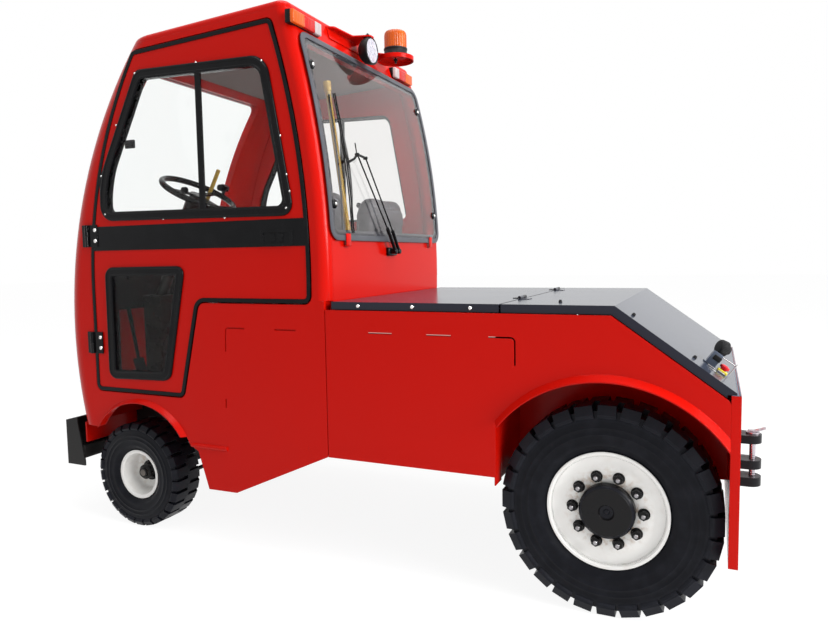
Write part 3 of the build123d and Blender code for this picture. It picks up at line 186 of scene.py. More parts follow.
def joined(*forms):
    """Several forms as one."""
    whole = bmesh.new()
    part = bpy.data.meshes.new("part")
    for form in forms:
        form.to_mesh(part)
        form.free()
        whole.from_mesh(part)
    bpy.data.meshes.remove(part)
    return whole


def outward(form):
    """Turns the faces of a form outwards."""
    bmesh.ops.recalc_face_normals(form, faces=form.faces)
    return form


def mirrored(form):
    """The same form on the other side of the tractor."""
    other = form.copy()
    bmesh.ops.scale(other, vec=(1, -1, 1), verts=other.verts)
    return outward(other)


def both_sides(form):
    """A form and its mirror image in one."""
    return joined(form, mirrored(form))


def rod(points, radius, smooth=False, sides=3):
    """A round rod or cable along points."""
    curve = bpy.data.curves.new("rod", "CURVE")
    curve.dimensions = "3D"
    curve.bevel_depth = radius
    curve.bevel_resolution = sides
    curve.use_fill_caps = True
    spline = curve.splines.new("NURBS" if smooth else "POLY")
    spline.points.add(len(points) - 1)
    for point, place in zip(spline.points, points):
        point.co = (*place, 1.0)
    if smooth:
        spline.order_u = 3
        spline.use_endpoint_u = True
    holder = bpy.data.objects.new("rod", curve)
    mesh = bpy.data.meshes.new_from_object(holder)
    form = bmesh.new()
    form.from_mesh(mesh)
    bpy.data.objects.remove(holder)
    bpy.data.curves.remove(curve)
    bpy.data.meshes.remove(mesh)
    bmesh.ops.remove_doubles(form, verts=form.verts, dist=1e-6)
    return outward(form)


def piece(name, form, material, body, slot, *replaced):
    """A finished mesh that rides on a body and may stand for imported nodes."""
    mesh = bpy.data.meshes.new(name)
    form.to_mesh(mesh)
    form.free()
    mesh.materials.append(material)
    mesh.polygons.foreach_set("use_smooth", [True] * len(mesh.polygons))
    mesh.set_sharp_from_angle(angle=radians(38))
    made = bpy.data.objects.new(name, mesh)
    scene.collection.objects.link(made)
    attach(made, body)
    if replaced:
        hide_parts(*replaced)
    return made


LIP_EDGE_R = 0.5055
LIP_EDGE_Y = 0.6848
LIP_BEAD_R = 0.0012
LIP_SPAN = (38, 143)     # degrees from forward, over the wheel and down to the tail plate
LIP_STEPS = 40


def arch_edge():
    """Thin bead on the free edge of the left rear lip, which carries the lip's painted highlight."""
    low, high = LIP_SPAN
    angles = [radians(low + (high - low) * i / LIP_STEPS) for i in range(LIP_STEPS + 1)]
    y = LIP_EDGE_Y - LIP_BEAD_R
    places = [at(LIP_EDGE_R * cos(a), y, REAR_AXLE.z + LIP_EDGE_R * sin(a)) for a in angles]
    return rod(places, LIP_BEAD_R, sides=1)


# The lighter red of the bead is a painted highlight where the lip's edge catches the light.
lip_highlight_red = painted("painted lip edge highlight", (0.80, 0.10, 0.07), (0.62, 0.05, 0.04), 0.25, 0.5, 0.0)
piece("arch_lip_edge_highlights", both_sides(arch_edge()), lip_highlight_red, "body", "red_paint")


# Narrow slots in the side sheets. Pale pink strips lie just behind the skin in the three upper ones:
# a painted highlight, standing in for the light that the slots' cut edges catch from above.

SLOT_Z = 1.058
SLOT_DEPTH_Y = (0.6455, 0.6492)
BRIGHT_SLOTS = ((0.859, 0.968), (0.598, 0.704), (0.415, 0.443))


def bevelled(form, geom, width, segments, affect="EDGES", clamp=False):
    """Rounds chosen edges or corners of a form."""
    bmesh.ops.bevel(form, geom=geom, offset=width, offset_type="OFFSET", affect=affect, segments=segments,
                    profile=0.5, material=-1, clamp_overlap=clamp)
    return form


def softened(form, width, segments=2):
    """Rounds every hard edge of a form."""
    hard = [e for e in form.edges if e.is_manifold and e.calc_face_angle(0) > radians(40)]
    return bevelled(form, hard, width, segments, clamp=True)


def bar(low, high, soft=0.0, segments=2):
    """A block between two corners, with its edges rounded."""
    low, high = Vector(low), Vector(high)
    form = bmesh.new()
    size = Matrix.Diagonal((high - low).to_4d())
    bmesh.ops.create_cube(form, size=1.0, matrix=Matrix.Translation((low + high) / 2) @ size)
    if soft:
        softened(form, soft, segments)
    return form


strips = [bar(at(low, SLOT_DEPTH_Y[0], SLOT_Z - 0.0002), at(high, SLOT_DEPTH_Y[1], SLOT_Z + 0.0028))
          for low, high in BRIGHT_SLOTS]
# Pale pink paint on the strips: a painted highlight for the lit cut edges of the slots.
slot_highlight_paint = painted("painted slot edge highlight", (0.75, 0.42, 0.38), (0.6, 0.3, 0.26), 0.4, 0.4, 0.0)
piece("slot_highlight_strips", both_sides(joined(*strips)), slot_highlight_paint, "body", "grey_steel")


# Deck and rear hood: folded steel sheets in a dark blue-grey gloss coat, which mirrors what is round it.
# The fixed deck is held by three pan-head screws a side. Three rubber stubs stand on the hood.

SCREW_X = (1.02, 0.77, 0.52)
DECK_SIDE_Y = 0.640
SCREW_Z = 1.169
# Each stub's place, and 1 where it stands on the slope
STUBS = ((0.195, 0.500, 1.186, 0), (-0.084, 0.556, 1.145, 1), (-0.294, 0.536, 0.994, 1))
SLOPE_NORMAL = Vector((-0.585, 0, 0.811))


def sheet_grey():
    """Dark gloss coat, lighter on the faces that look up: a painted reflection of the bright surround."""
    finish = Finish("deck blue-grey gloss coat")
    # Painted reflection: faces that look up are mixed towards a lighter blue-grey, broken up by noise and a
    # little rougher.
    dust_and_painted_reflection = finish.upward() * (finish.noise(4.0) * 0.35 + 0.40)
    fine = finish.noise(900.0, 1.0)
    return finish.done({
        "Base Color": finish.mix(dust_and_painted_reflection * 0.6, (0.014, 0.015, 0.026), (0.058, 0.074, 0.106)),
        "Roughness": dust_and_painted_reflection * 0.06 + fine * 0.03 + 0.15,
        "Specular IOR Level": 0.24,
        "Normal": finish.relief(finish.noise(190.0, 2.0), 0.00004, 0.003)})


deck_grey = sheet_grey()
paint(deck_grey, "deck_plate", "rear_hood")


def facing(place, direction):
    """Matrix that takes the local Z axis to a direction at a place."""
    return Matrix.Translation(place) @ Vector(direction).to_track_quat("Z", "Y").to_matrix().to_4x4()


def turned(profile, place, direction, steps=96, ring=False):
    """A turned form from radius and height points, about an axis through a place."""
    form = bmesh.new()
    points = [form.verts.new((radius, 0, height)) for radius, height in profile]
    ends = points[1:] + points[:1] if ring else points[1:]
    edges = [form.edges.new(two) for two in zip(points, ends)]
    bmesh.ops.spin(form, geom=points + edges, cent=(0, 0, 0), axis=(0, 0, 1), dvec=(0, 0, 0), angle=2 * pi,
                   steps=steps, use_merge=True, use_duplicate=False)
    bmesh.ops.remove_doubles(form, verts=form.verts, dist=1e-6)
    bmesh.ops.transform(outward(form), matrix=facing(place, direction), verts=form.verts)
    return form


def pan_head(place, direction, radius, height):
    """Low domed screw head with a driver socket."""
    r, h = radius, height
    return turned([(0, 0.45 * h), (0.34 * r, 0.45 * h), (0.38 * r, 0.97 * h), (0.6 * r, 0.88 * h),
                   (0.85 * r, 0.62 * h), (r, 0.2 * h), (r, -0.001), (0, -0.001)], place, direction, 24)


def metal(name, colour, stained, rough):
    """Bare or plated metal with faint stains and brushing."""
    finish = Finish(name)
    stain = finish.step(finish.noise(38.0), 0.45, 0.8)
    return finish.done({
        "Base Color": finish.mix(stain * 0.6, colour, stained),
        "Roughness": stain * 0.15 + rough,
        "Metallic": 1.0,
        "Normal": finish.relief(finish.noise(180.0, 2.0), 0.00006)})


chrome = metal("polished screw steel", (0.78, 0.77, 0.76), (0.5, 0.47, 0.44), 0.16)
heads = [pan_head(at(x, DECK_SIDE_Y, SCREW_Z), (0, 1, 0), 0.0085, 0.006) for x in SCREW_X]
piece("deck_screws", both_sides(joined(*heads)), chrome, "body", "bright_steel")


def moulded(name, colour, pale, rough, grain=420.0, depth=0.0003, edge=0.001, shine=0.5):
    """Rubber or moulded plastic: fine grain, small shifts of tone and of gloss."""
    finish = Finish(name)
    tone = finish.step(finish.noise(14.0), 0.3, 0.8)
    return finish.done({
        "Base Color": finish.mix(tone, colour, pale),
        "Roughness": tone * 0.1 + rough,
        "Specular IOR Level": shine,
        "Normal": finish.relief(finish.noise(grain, 2.0), depth, edge)})


plastic = moulded("black moulded plastic", (0.0035, 0.0035, 0.004), (0.007, 0.007, 0.0075), 0.20, 700.0,
                  0.00006, shine=0.16)
dull_rubber = moulded("dull black rubber", (0.006, 0.006, 0.007), (0.012, 0.012, 0.013), 0.45, shine=0.2)
stubs = []
for x, y, z, sloping in STUBS:
    direction = SLOPE_NORMAL if sloping else (0, 0, 1)
    stubs.append(turned([(0, -0.002), (0.0075, -0.002), (0.0072, 0.003), (0.0055, 0.009), (0.004, 0.0105),
                         (0, 0.011)], at(x, y, z), direction, 20))
piece("hood_stubs", joined(*stubs), dull_rubber, "hood", "black_plastic")


# Hood hinges: flat black leaves screwed to deck and hood, with the knuckle across the seam.
# Steel, in the satin black paint that the small fittings share.

satin_black = painted("satin black paint", (0.0045, 0.0045, 0.0055), (0.012, 0.011, 0.010), 0.25, 0.18,
                      0.0015)
paint(satin_black, "hood_hinges")


# Running gear: rails, axles, knuckles, tie rod, bumper and battery box in satin black.
# Welded plate, brush painted, dusty low down.

road_black = painted("dusty black chassis paint", (0.005, 0.005, 0.006), (0.030, 0.027, 0.024), 0.36, 0.18)
paint(road_black, "chassis_frame", "front_axle", "rear_axle", "tie_rod", "battery_block", "front_bumper",
      *pair("knuckle"))


# Rear rims: pressed steel, welded, in cream white, bolted through ten studs with black flanged nuts.
# Rust-brown stains run from the nuts, and a black cap covers the hub's end.

NUTS = 10
NUT_RING_R = 0.1315
NUT_FLATS = 0.033
REAR_TYRE_Y = 0.515
REAR_DISC_FACE = 0.0625
REAR_RIM_PROFILE = ((0.084, 0.050), (0.197, 0.050), (0.197, -0.0836), (0.2268, -0.0836), (0.2268, -0.0766),
                    (0.2086, -0.0766), (0.2086, 0.0766), (0.2268, 0.0766), (0.2268, 0.0836), (0.2150, 0.0836),
                    (0.2118, 0.0765), (0.2085, 0.0672), (0.2000, 0.0618), (0.1880, 0.0605), (0.172, 0.0600),
                    (0.167, 0.0625), (0.112, 0.0625), (0.107, 0.0600), (0.084, 0.0600))
CAP_PROFILE = ((0, 0.0), (0.104, 0.0), (0.104, 0.0235), (0.1005, 0.0320), (0.0935, 0.0375), (0.0865, 0.0385),
               (0.060, 0.0395), (0.036, 0.0398), (0.0330, 0.0385), (0.0300, 0.0345), (0.0265, 0.0315),
               (0.0115, 0.0305), (0.0095, 0.0335), (0.0065, 0.0350), (0, 0.0352))


def rim_white(name, axle, stained_from, stained_to):
    """Cream paint with brown stains that fade outwards from the hub."""
    finish = Finish(name)
    across = finish.along("X") - axle.x
    upright = finish.along("Z") - axle.z
    radius = (across * across + upright * upright) ** 0.5
    near = 1 - finish.step(radius, stained_from, stained_to)
    streak = finish.step(finish.noise(55.0), 0.42, 0.72)
    stain = near * streak * 0.75 + finish.step(finish.noise(16.0), 0.55, 0.9) * 0.16
    return finish.done({
        "Base Color": finish.mix(stain, (0.86, 0.855, 0.83), (0.42, 0.27, 0.15)),
        "Roughness": stain * 0.3 + 0.30,
        "Specular IOR Level": 0.35,
        "Normal": finish.relief(finish.noise(150.0, 2.0), 0.00015, 0.002)})


def hex_form(place, direction, flats, height, soft):
    """Six-sided block with rounded edges."""
    form = bmesh.new()
    corner = flats / 2 / cos(pi / 6)
    bmesh.ops.create_cone(form, cap_ends=True, segments=6, radius1=corner, radius2=corner, depth=height,
                          matrix=Matrix.Translation((0, 0, height / 2)))
    softened(form, soft)
    bmesh.ops.transform(form, matrix=facing(place, direction), verts=form.verts)
    return form


def wheel_nuts():
    """Ring of flanged nuts on the left rear rim, and the stud ends in them, as two forms."""
    nuts = []
    studs = []
    for i in range(NUTS):
        angle = 2 * pi * i / NUTS
        face_y = REAR_TYRE_Y + REAR_DISC_FACE
        place = REAR_AXLE + Vector((NUT_RING_R * cos(angle), face_y, NUT_RING_R * sin(angle)))
        nuts.append(turned([(0.0, 0.0), (0.0225, 0.0), (0.0225, 0.003), (0.0205, 0.0055), (0.0, 0.0055)],
                           place, (0, 1, 0), 24))
        nuts.append(hex_form(place + Vector((0, 0.004, 0)), (0, 1, 0), NUT_FLATS, 0.019, 0.0018))
        studs.append(turned([(0.0, 0.0), (0.0082, 0.0), (0.0082, 0.0325), (0.0066, 0.0345), (0.0, 0.0345)],
                            place, (0, 1, 0), 16))
    return joined(*nuts), joined(*studs)


stud_grey = metal("greyed stud ends", (0.34, 0.33, 0.34), (0.20, 0.19, 0.19), 0.30)
rear_white = rim_white("cream rear rim", REAR_AXLE, 0.100, 0.185)
cap_black = moulded("satin black hub cap", (0.0040, 0.0045, 0.0085), (0.007, 0.0075, 0.012), 0.24, 500.0,
                    0.00005, shine=0.18)
SIDES = (("left", lambda form: form), ("right", mirrored))
for side, turn in SIDES:
    body = f"rear_wheel_{side}"
    middle = REAR_AXLE + Vector((0, REAR_TYRE_Y, 0))
    rim = softened(turned(REAR_RIM_PROFILE, middle, (0, 1, 0), ring=True), 0.0028)
    piece(f"rear_rim_face_{side}", turn(rim), rear_white, body, "cream_paint", f"rear_rim_{side}")
    nuts, studs = wheel_nuts()
    piece(f"rear_nuts_{side}", turn(nuts), satin_black, body, "black_paint")
    piece(f"rear_studs_{side}", turn(studs), stud_grey, body, "bright_steel")
    cap = turned(CAP_PROFILE, REAR_AXLE + Vector((0, REAR_TYRE_Y + 0.0602, 0)), (0, 1, 0))
    piece(f"rear_hub_cap_{side}", turn(cap), cap_black, body, "black_paint")
paint(satin_black, *pair("rear_hub"))


# Tyres: industrial lug tyres in black rubber, with two staggered rows of heavy lugs, seated on the rims.
# Each lug has a moulded panel on its side face, and fine rings run round the walls.

REAR_TYRE = {"radius": 0.407, "width": 0.210, "rim_r": 0.227, "bead_r": 0.209, "count": 28, "lug": 0.068,
             "groove": 0.024, "reach": 0.055}
FRONT_TYRE = {"radius": 0.270, "rim_r": 0.128, "bead_r": 0.114, "count": 26, "lug": 0.048, "groove": 0.016,
              "reach": 0.038}
WALL_STEPS = 14
RING_STEPS = (3, 4, 8, 11)
RING_PROUD = 0.0036


def extruded(form, move):
    """Gives all faces of a form a thickness along a vector."""
    grown = bmesh.ops.extrude_face_region(form, geom=form.faces[:])["geom"]
    bmesh.ops.translate(form, vec=move, verts=[g for g in grown if isinstance(g, bmesh.types.BMVert)])
    return outward(form)


def tyre_form(axle, radius, width, rim_r, bead_r, count, lug, groove, reach):
    """A left tyre about its own middle plane: carcass, and a ring of lugs on each side."""
    half = width / 2
    wall = half - 0.004
    low_r = radius - reach
    foot = rim_r + 0.001
    bead = 0.72 * half
    side = []
    for i in range(WALL_STEPS + 1):
        share = i / WALL_STEPS
        bulge = bead + (wall - bead) * (1 - (1 - min(share / 0.5, 1)) ** 2) - 0.002 * max(0, share - 0.5) * 2
        ring = RING_PROUD if i in RING_STEPS else 0.0
        side.append((foot + (low_r - 0.004 - foot) * share, bulge + ring))
    floor_r = radius - groove
    outer = [(bead_r, bead - 0.004), (bead_r, bead), *side, (floor_r, 0.8 * half)]
    profile = outer + [(r, -y) for r, y in reversed(outer)]
    carcass = turned(profile, (0, 0, 0), (0, 1, 0), ring=True)
    block = bmesh.new()
    foot_r = floor_r - 0.005
    top_r = sqrt(radius ** 2 - (lug / 2) ** 2)
    outline = ((low_r, wall - 0.016), (low_r, wall - 0.006), (low_r + 0.010, half), (0.91 * radius, half),
               (top_r - 0.001, 0.84 * half), (top_r, 0.80 * half), (top_r, -0.008), (foot_r, -0.008),
               (foot_r, 0.7 * half))
    block.faces.new([block.verts.new((-lug / 2, y, r)) for r, y in outline])
    extruded(block, (lug, 0, 0))
    panel = [f for f in block.faces if f.normal.y > 0.95]
    bmesh.ops.inset_region(block, faces=panel, thickness=0.0042, depth=-0.0016, use_even_offset=True)
    bevelled(block, [e for e in block.edges if e.calc_face_angle(0) > radians(60)], 0.0022, 1, clamp=True)
    other = mirrored(block)
    bmesh.ops.rotate(other, cent=(0, 0, 0), matrix=Matrix.Rotation(pi / count, 3, "Y"), verts=other.verts)
    lugs = joined(block, other)
    bmesh.ops.spin(lugs, geom=lugs.verts[:] + lugs.edges[:] + lugs.faces[:], cent=(0, 0, 0), axis=(0, 1, 0),
                   dvec=(0, 0, 0), angle=2 * pi * (count - 1) / count, steps=count - 1, use_duplicate=True)
    tyre = joined(carcass, lugs)
    bmesh.ops.translate(tyre, vec=axle, verts=tyre.verts)
    return tyre


def tyre_rubber():
    """Near-black rubber, slightly blue, with pale scuffs on what stands out."""
    finish = Finish("tyre rubber")
    tone = finish.step(finish.noise(22.0), 0.35, 0.8)
    scuff = finish.step(finish.node("ShaderNodeNewGeometry", out="Pointiness"), 0.51, 0.56)
    return finish.done({
        "Base Color": finish.mix(tone * 0.4 + scuff * 0.4, (0.0032, 0.0036, 0.0062), (0.015, 0.016, 0.022)),
        "Roughness": tone * 0.12 + 0.34,
        "Specular IOR Level": 0.12,
        "Normal": finish.relief(finish.noise(380.0, 2.0), 0.00025)})


rubber = tyre_rubber()
low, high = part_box("front_tyre_left")
FRONT_AXLE = Vector(((low.x + high.x) / 2, 0.0, (low.z + high.z) / 2))
FRONT_TYRE_Y = (low.y + high.y) / 2
FRONT_TYRE["width"] = high.y - low.y
for side, turn in SIDES:
    rear = tyre_form(REAR_AXLE + Vector((0, REAR_TYRE_Y, 0)), **REAR_TYRE)
    piece(f"rear_lug_tyre_{side}", turn(rear), rubber, f"rear_wheel_{side}", "tyre_rubber",
          f"rear_tyre_{side}")
    front = tyre_form(FRONT_AXLE + Vector((0, FRONT_TYRE_Y, 0)), **FRONT_TYRE)
    piece(f"front_lug_tyre_{side}", turn(front), rubber, f"front_wheel_{side}", "tyre_rubber",
          f"front_tyre_{side}")


# Front rims: deep white dishes of pressed steel on a black hub, held by five nuts on round lobes.
# A greased cap is pressed over the bearing in the middle.

FRONT_RIM_PROFILE = ((0.043, -0.028), (0.104, -0.028), (0.104, -0.0729), (0.1278, -0.0729), (0.1278, -0.0669),
                     (0.1136, -0.0669), (0.1136, 0.0669), (0.1278, 0.0669), (0.1278, 0.0729), (0.116, 0.0729),
                     (0.109, 0.0680), (0.1035, 0.0480), (0.0985, 0.0050), (0.0930, -0.0130), (0.0860, -0.0180),
                     (0.043, -0.0180))
front_white = rim_white("white front rim", FRONT_AXLE, 0.045, 0.115)
greased = moulded("greased hub cap", (0.055, 0.047, 0.040), (0.16, 0.135, 0.115), 0.42, 120.0, 0.0004)
FRONT_NUTS = 5
FRONT_NUT_RING_R = 0.041
for side, turn in SIDES:
    body = f"front_wheel_{side}"
    middle = FRONT_AXLE + Vector((0, FRONT_TYRE_Y, 0))
    rim = softened(turned(FRONT_RIM_PROFILE, middle, (0, 1, 0), 72, ring=True), 0.002)
    piece(f"front_rim_face_{side}", turn(rim), front_white, body, "cream_paint", f"front_rim_{side}")
    lobes = []
    for i in range(FRONT_NUTS):
        angle = 2 * pi * (i + 0.2) / FRONT_NUTS
        place = middle + Vector((FRONT_NUT_RING_R * cos(angle), -0.0175, FRONT_NUT_RING_R * sin(angle)))
        lobes.append(turned([(0, 0), (0.0125, 0), (0.0125, 0.010), (0.0105, 0.014), (0, 0.015)], place,
                            (0, 1, 0), 20))
        lobes.append(hex_form(place + Vector((0, 0.013, 0)), (0, 1, 0), 0.017, 0.010, 0.0014))
    piece(f"front_nuts_{side}", turn(joined(*lobes)), satin_black, body, "black_paint")
    cap = turned([(0, 0.0465), (0.0165, 0.0462), (0.0225, 0.0440), (0.0258, 0.0395), (0.0285, 0.0330),
                  (0.0290, 0.0300), (0.0290, 0.0250), (0, 0.0250)], middle, (0, 1, 0), 48)
    piece(f"front_grease_cap_{side}", turn(cap), greased, body, "grey_steel")
paint(satin_black, *pair("front_hub"))


# Doors: extruded rubber seal and two window frames of rounded gloss rubber profile, held by bright screws.
# The belt band and the handle are black moulded plastic; the hinges are cast, with two chrome bolts each.

UPPER_SCREWS = ((2.190, 2.266), (1.818, 2.270), (1.457, 2.232), (1.372, 1.905), (1.347, 1.738),
                (1.334, 1.665), (1.354, 1.594), (1.688, 1.563), (2.053, 1.572), (2.431, 1.608),
                (2.443, 1.798), (2.326, 2.036))
FRAME_FACE_Y = 0.658
BEAD_INSETS = (0.007, 0.037)
BEAD_R = 0.0075
HINGE_BOLTS = ((2.507, 1.478), (2.507, 1.532), (2.507, 0.934), (2.507, 0.988))
PANE_KNOBS = ((1.705, 1.700), (1.918, 1.700))
gasket = moulded("gloss black rubber profile", (0.0022, 0.0022, 0.0030), (0.0045, 0.0045, 0.0055), 0.10,
                 900.0, 0.00003, 0.004, 0.13)
paint(gasket, *pair("door_trim"))
paint(satin_black, "door_hinges")
screw_y = FRAME_FACE_Y - 0.0005
window_screws = [pan_head(at(x, screw_y, z), (0, 1, 0), 0.0050, 0.0035) for x, z in UPPER_SCREWS]
hinge_bolts = [pan_head(at(x, screw_y, z), (0, 1, 0), 0.0105, 0.008) for x, z in HINGE_BOLTS]
latch_knobs = []
for x, z in PANE_KNOBS:
    latch_knobs.append(turned([(0, -0.004), (0.0165, -0.004), (0.0165, 0.001), (0.0105, 0.003),
                               (0.0105, 0.009), (0.0135, 0.0105), (0.0145, 0.0150), (0.0120, 0.0175),
                               (0, 0.0180)],
                              at(x, 0.650, z), (0, 1, 0), 24))
FRONT_AXLE_X = 2.360
# Corners of each window from the front axle, with the radius of each corner
UPPER_WINDOW = ((-1.046, 1.559, 0.075), (0.102, 1.575, 0.085), (0.098, 1.780, 0.120), (-0.172, 2.282, 0.050),
                (-0.923, 2.257, 0.100))
LOWER_WINDOW = ((-0.422, 1.347, 0.055), (0.092, 1.344, 0.055), (0.098, 0.779, 0.055), (-0.304, 0.789, 0.055))


def band_of(form, width):
    """Insets a flat form and gives back the faces of the band along its outline."""
    return bmesh.ops.inset_region(form, faces=form.faces[:], thickness=width, use_even_offset=True,
                                  use_boundary=True)["faces"]


def keep_band(form, width):
    """Leaves only a band, so wide, along the outline of a flat form."""
    band = band_of(form, width)
    bmesh.ops.delete(form, geom=[f for f in form.faces if f not in band], context="FACES")


def window_face(corners, y, inset):
    """One flat face with a window's rounded outline, drawn in by an inset."""
    form = bmesh.new()
    form.faces.new([form.verts.new(at(FRONT_AXLE_X + x, y, z)) for x, z, corner in corners])
    for x, z, corner in corners:
        place = at(FRONT_AXLE_X + x, y, z)
        vert = min(form.verts, key=lambda v: (v.co - place).length)
        bevelled(form, [vert], corner * 0.9, 8, "VERTICES")
    bmesh.ops.delete(form, geom=band_of(form, inset), context="FACES")
    return form


def window_beads(corners, y):
    """Two round rubber beads that follow a window: one on its outer edge and one on its inner edge."""
    beads = []
    for inset in BEAD_INSETS:
        form = window_face(corners, y, inset)
        points = [v.co.copy() for v in form.faces[:][0].verts]
        form.free()
        beads.append(rod(points + points[:2], BEAD_R))
    return joined(*beads)


def window_reveal(corners):
    """Black inner frame that stands from the door's skin into the cab round a window."""
    form = window_face(corners, 0.6405, 0.029)
    keep_band(form, 0.012)
    return softened(extruded(form, (0, -0.028, 0)), 0.002)


frames = joined(*[window_beads(corners, FRAME_FACE_Y - 0.0035) for corners in (UPPER_WINDOW, LOWER_WINDOW)],
                window_reveal(UPPER_WINDOW), window_reveal(LOWER_WINDOW))
fixings = joined(*window_screws, *hinge_bolts)
latch_knobs.append(bar(at(2.235, 0.628, 1.922), at(2.292, 0.643, 1.962), 0.004))
latch_knobs.append(rod([at(2.170, 0.632, 2.225), at(2.205, 0.622, 2.180), at(2.262, 0.622, 2.060),
                        at(2.270, 0.634, 2.030)], 0.0085, smooth=True))
knobs = joined(*latch_knobs)
for side, turn in SIDES:
    piece(f"window_beads_{side}", turn(frames.copy()), gasket, f"door_{side}", "black_plastic")
    piece(f"door_screws_{side}", turn(fixings.copy()), chrome, f"door_{side}", "bright_steel")
    piece(f"pane_knobs_{side}", turn(knobs.copy()), plastic, f"door_{side}", "black_plastic")
frames.free()
fixings.free()
knobs.free()


# Glass: clear in doors and windscreen, faintly bronzed behind, all with a thin film of dust.
# Flat or bent safety glass, held by rubber profiles in front and at the sides, and bolted behind.

def glazed(name, tint, rough=0.0, index=1.40):
    """Safety glass, lightly dusted."""
    finish = Finish(name)
    return finish.done({
        "Base Color": tint,
        "Roughness": finish.step(finish.noise(6.0), 0.6, 1.0) * 0.01 + rough,
        "IOR": index,
        "Specular IOR Level": 0.4,
        "Transmission Weight": 1.0})


clear = glazed("clear safety glass", (0.97, 0.98, 0.975), index=1.16)
tinted = glazed("bronzed safety glass", (0.90, 0.88, 0.87))
paint(clear, "windscreen", *pair("door_glass"))
paint(tinted, "rear_glass")


# Rear window: bonded glass with a dark rubber rim, two red folded clips below and four domed glass bolts.
# The twin-armed wiper is black steel, on a pivot in the middle under the glass.

CAB_REAR_CENTRE = (5.008, 1.310)
CAB_REAR_R = 3.848
GLASS_FACE = 0.009
GLASS_CORNER_R = 0.063
BENDS = 16
GLASS_BOLTS = ((0.574, 2.210), (0.571, 1.608), (-0.560, 2.213), (-0.560, 1.609))
CLIP_Y = (0.480, -0.480)


def behind(y, z, out=0.0):
    """A place on the cab's curved rear wall, or so far outside it."""
    reach = CAB_REAR_R + out
    return at(CAB_REAR_CENTRE[0] - sqrt(reach ** 2 - (z - CAB_REAR_CENTRE[1]) ** 2), y, z)


def rear_ring(half, low, high, width, out, thick):
    """Rubber ring on the rear window: rounded, flat in section and bent to the curve of the wall."""
    form = bmesh.new()
    corners = ((-half, low), (half, low), (half, high), (-half, high))
    form.faces.new([form.verts.new((0, y, z)) for y, z in corners])
    bevelled(form, form.verts[:], GLASS_CORNER_R, 8, "VERTICES")
    keep_band(form, width)
    for i in range(1, BENDS):
        bmesh.ops.bisect_plane(form, geom=form.verts[:] + form.edges[:] + form.faces[:],
                               plane_co=(0, 0, low + (high - low) * i / BENDS), plane_no=(0, 0, 1))
    softened(extruded(form, (-thick, 0, 0)), 0.3 * thick)
    for vert in form.verts:
        vert.co = behind(vert.co.y, vert.co.z, out - vert.co.x)
    return form


rim_rubber = moulded("slate window rubber", (0.060, 0.062, 0.074), (0.085, 0.087, 0.100), 0.30, 600.0,
                     0.00005, shine=0.3)
rings = [rear_ring(0.621, 1.450, 2.355, 0.026, GLASS_FACE - 0.0005, 0.005),
         rear_ring(0.602, 1.463, 2.342, 0.034, 0.0004, 0.0026)]
piece("rear_window_rim", joined(*rings), rim_rubber, "body", "black_plastic")

domes = []
for y, z in GLASS_BOLTS:
    domes.append(turned([(0, 0.011), (0.009, 0.0105), (0.0165, 0.0075), (0.0205, 0.0025), (0.021, -0.001),
                         (0, -0.001)], behind(y, z, GLASS_FACE), (-1, 0, 0), 28))
piece("rear_glass_bolts", joined(*domes), plastic, "body", "black_plastic")
pins = [pan_head(behind(y, z, GLASS_FACE + 0.0100), (-1, 0, 0), 0.0085, 0.005) for y, z in GLASS_BOLTS]
piece("rear_glass_bolt_tips", joined(*pins), chrome, "body", "bright_steel")

clips = []
for y in CLIP_Y:
    place = behind(y, 1.462, 0)
    for low, high in (((-0.0185, -0.021, -0.034), (-0.0145, 0.021, 0.020)),
                      ((-0.0170, -0.021, -0.038), (0.0020, 0.021, -0.033))):
        clips.append(bar(place + Vector(low), place + Vector(high), 0.0012))
piece("rear_glass_clips", joined(*clips), red, "body", "red_paint")
ARMS = (((0.046, 1.402), (0.126, 1.514), (0.360, 1.846)), ((0.004, 1.402), (0.069, 1.503), (0.281, 1.839)))
BLADE = ((0.448, 2.110), (0.4465, 1.960), (0.4455, 1.800), (0.4445, 1.640), (0.444, 1.484))
ARM_OUT = 0.040
PIVOT_Z = 1.402
wiper = [bar(behind(-0.022, PIVOT_Z) + Vector((-0.018, 0, -0.022)),
             behind(0.074, PIVOT_Z) + Vector((0, 0, 0.020)), 0.006, 3)]
for foot, knee, tip in ARMS:
    wiper.append(turned([(0, 0.050), (0.0105, 0.049), (0.0135, 0.046), (0.0140, 0.012), (0, 0.012)],
                        behind(*foot), (-1, 0, 0), 28))
    wiper.append(rod([behind(*foot, ARM_OUT), behind(*knee, ARM_OUT)], 0.0085))
    wiper.append(rod([behind(*knee, ARM_OUT), behind(*tip, ARM_OUT)], 0.0036))
    wiper.append(rod([behind(*tip, 0.030), behind(*tip, 0.047)], 0.0075))
wiper.append(rod([behind(0.281, 1.839, ARM_OUT), behind(0.360, 1.846, ARM_OUT), behind(0.391, 1.822, 0.036),
                  behind(0.4455, 1.800, 0.030)], 0.0060))
wiper.append(rod([behind(0.366, 1.846, ARM_OUT), behind(0.366, 1.898, ARM_OUT)], 0.0028))
for out, radius in ((0.026, 0.0038), (0.017, 0.0030)):
    wiper.append(rod([behind(y, z, out) for y, z in BLADE], radius))
piece("rear_twin_arm_wiper", joined(*wiper), plastic, "body", "black_plastic", "rear_wiper")


# Roof fittings: two rear lamps with amber, red and clear lenses on black backs, a beacon with a ribbed amber
# dome, and a round work lamp with six cells round a seventh. Moulded plastic, bolted to the red bracket.

# Colour and span across of each lens of the left lamp
LENSES = {"amber": ((0.75, 0.10, 0.003), (0.574, 0.664)), "red": ((0.55, 0.008, 0.006), (0.490, 0.5735)),
          "clear": ((0.50, 0.42, 0.42), (0.436, 0.4895))}
BACK_SPAN = (0.434, 0.666)
LAMP_FACE_X = 1.2832
LAMP_Z = (2.3695, 2.4235)
RIGHT_SHIFT = 0.098      # the right lamp's inner end is nearer to the middle


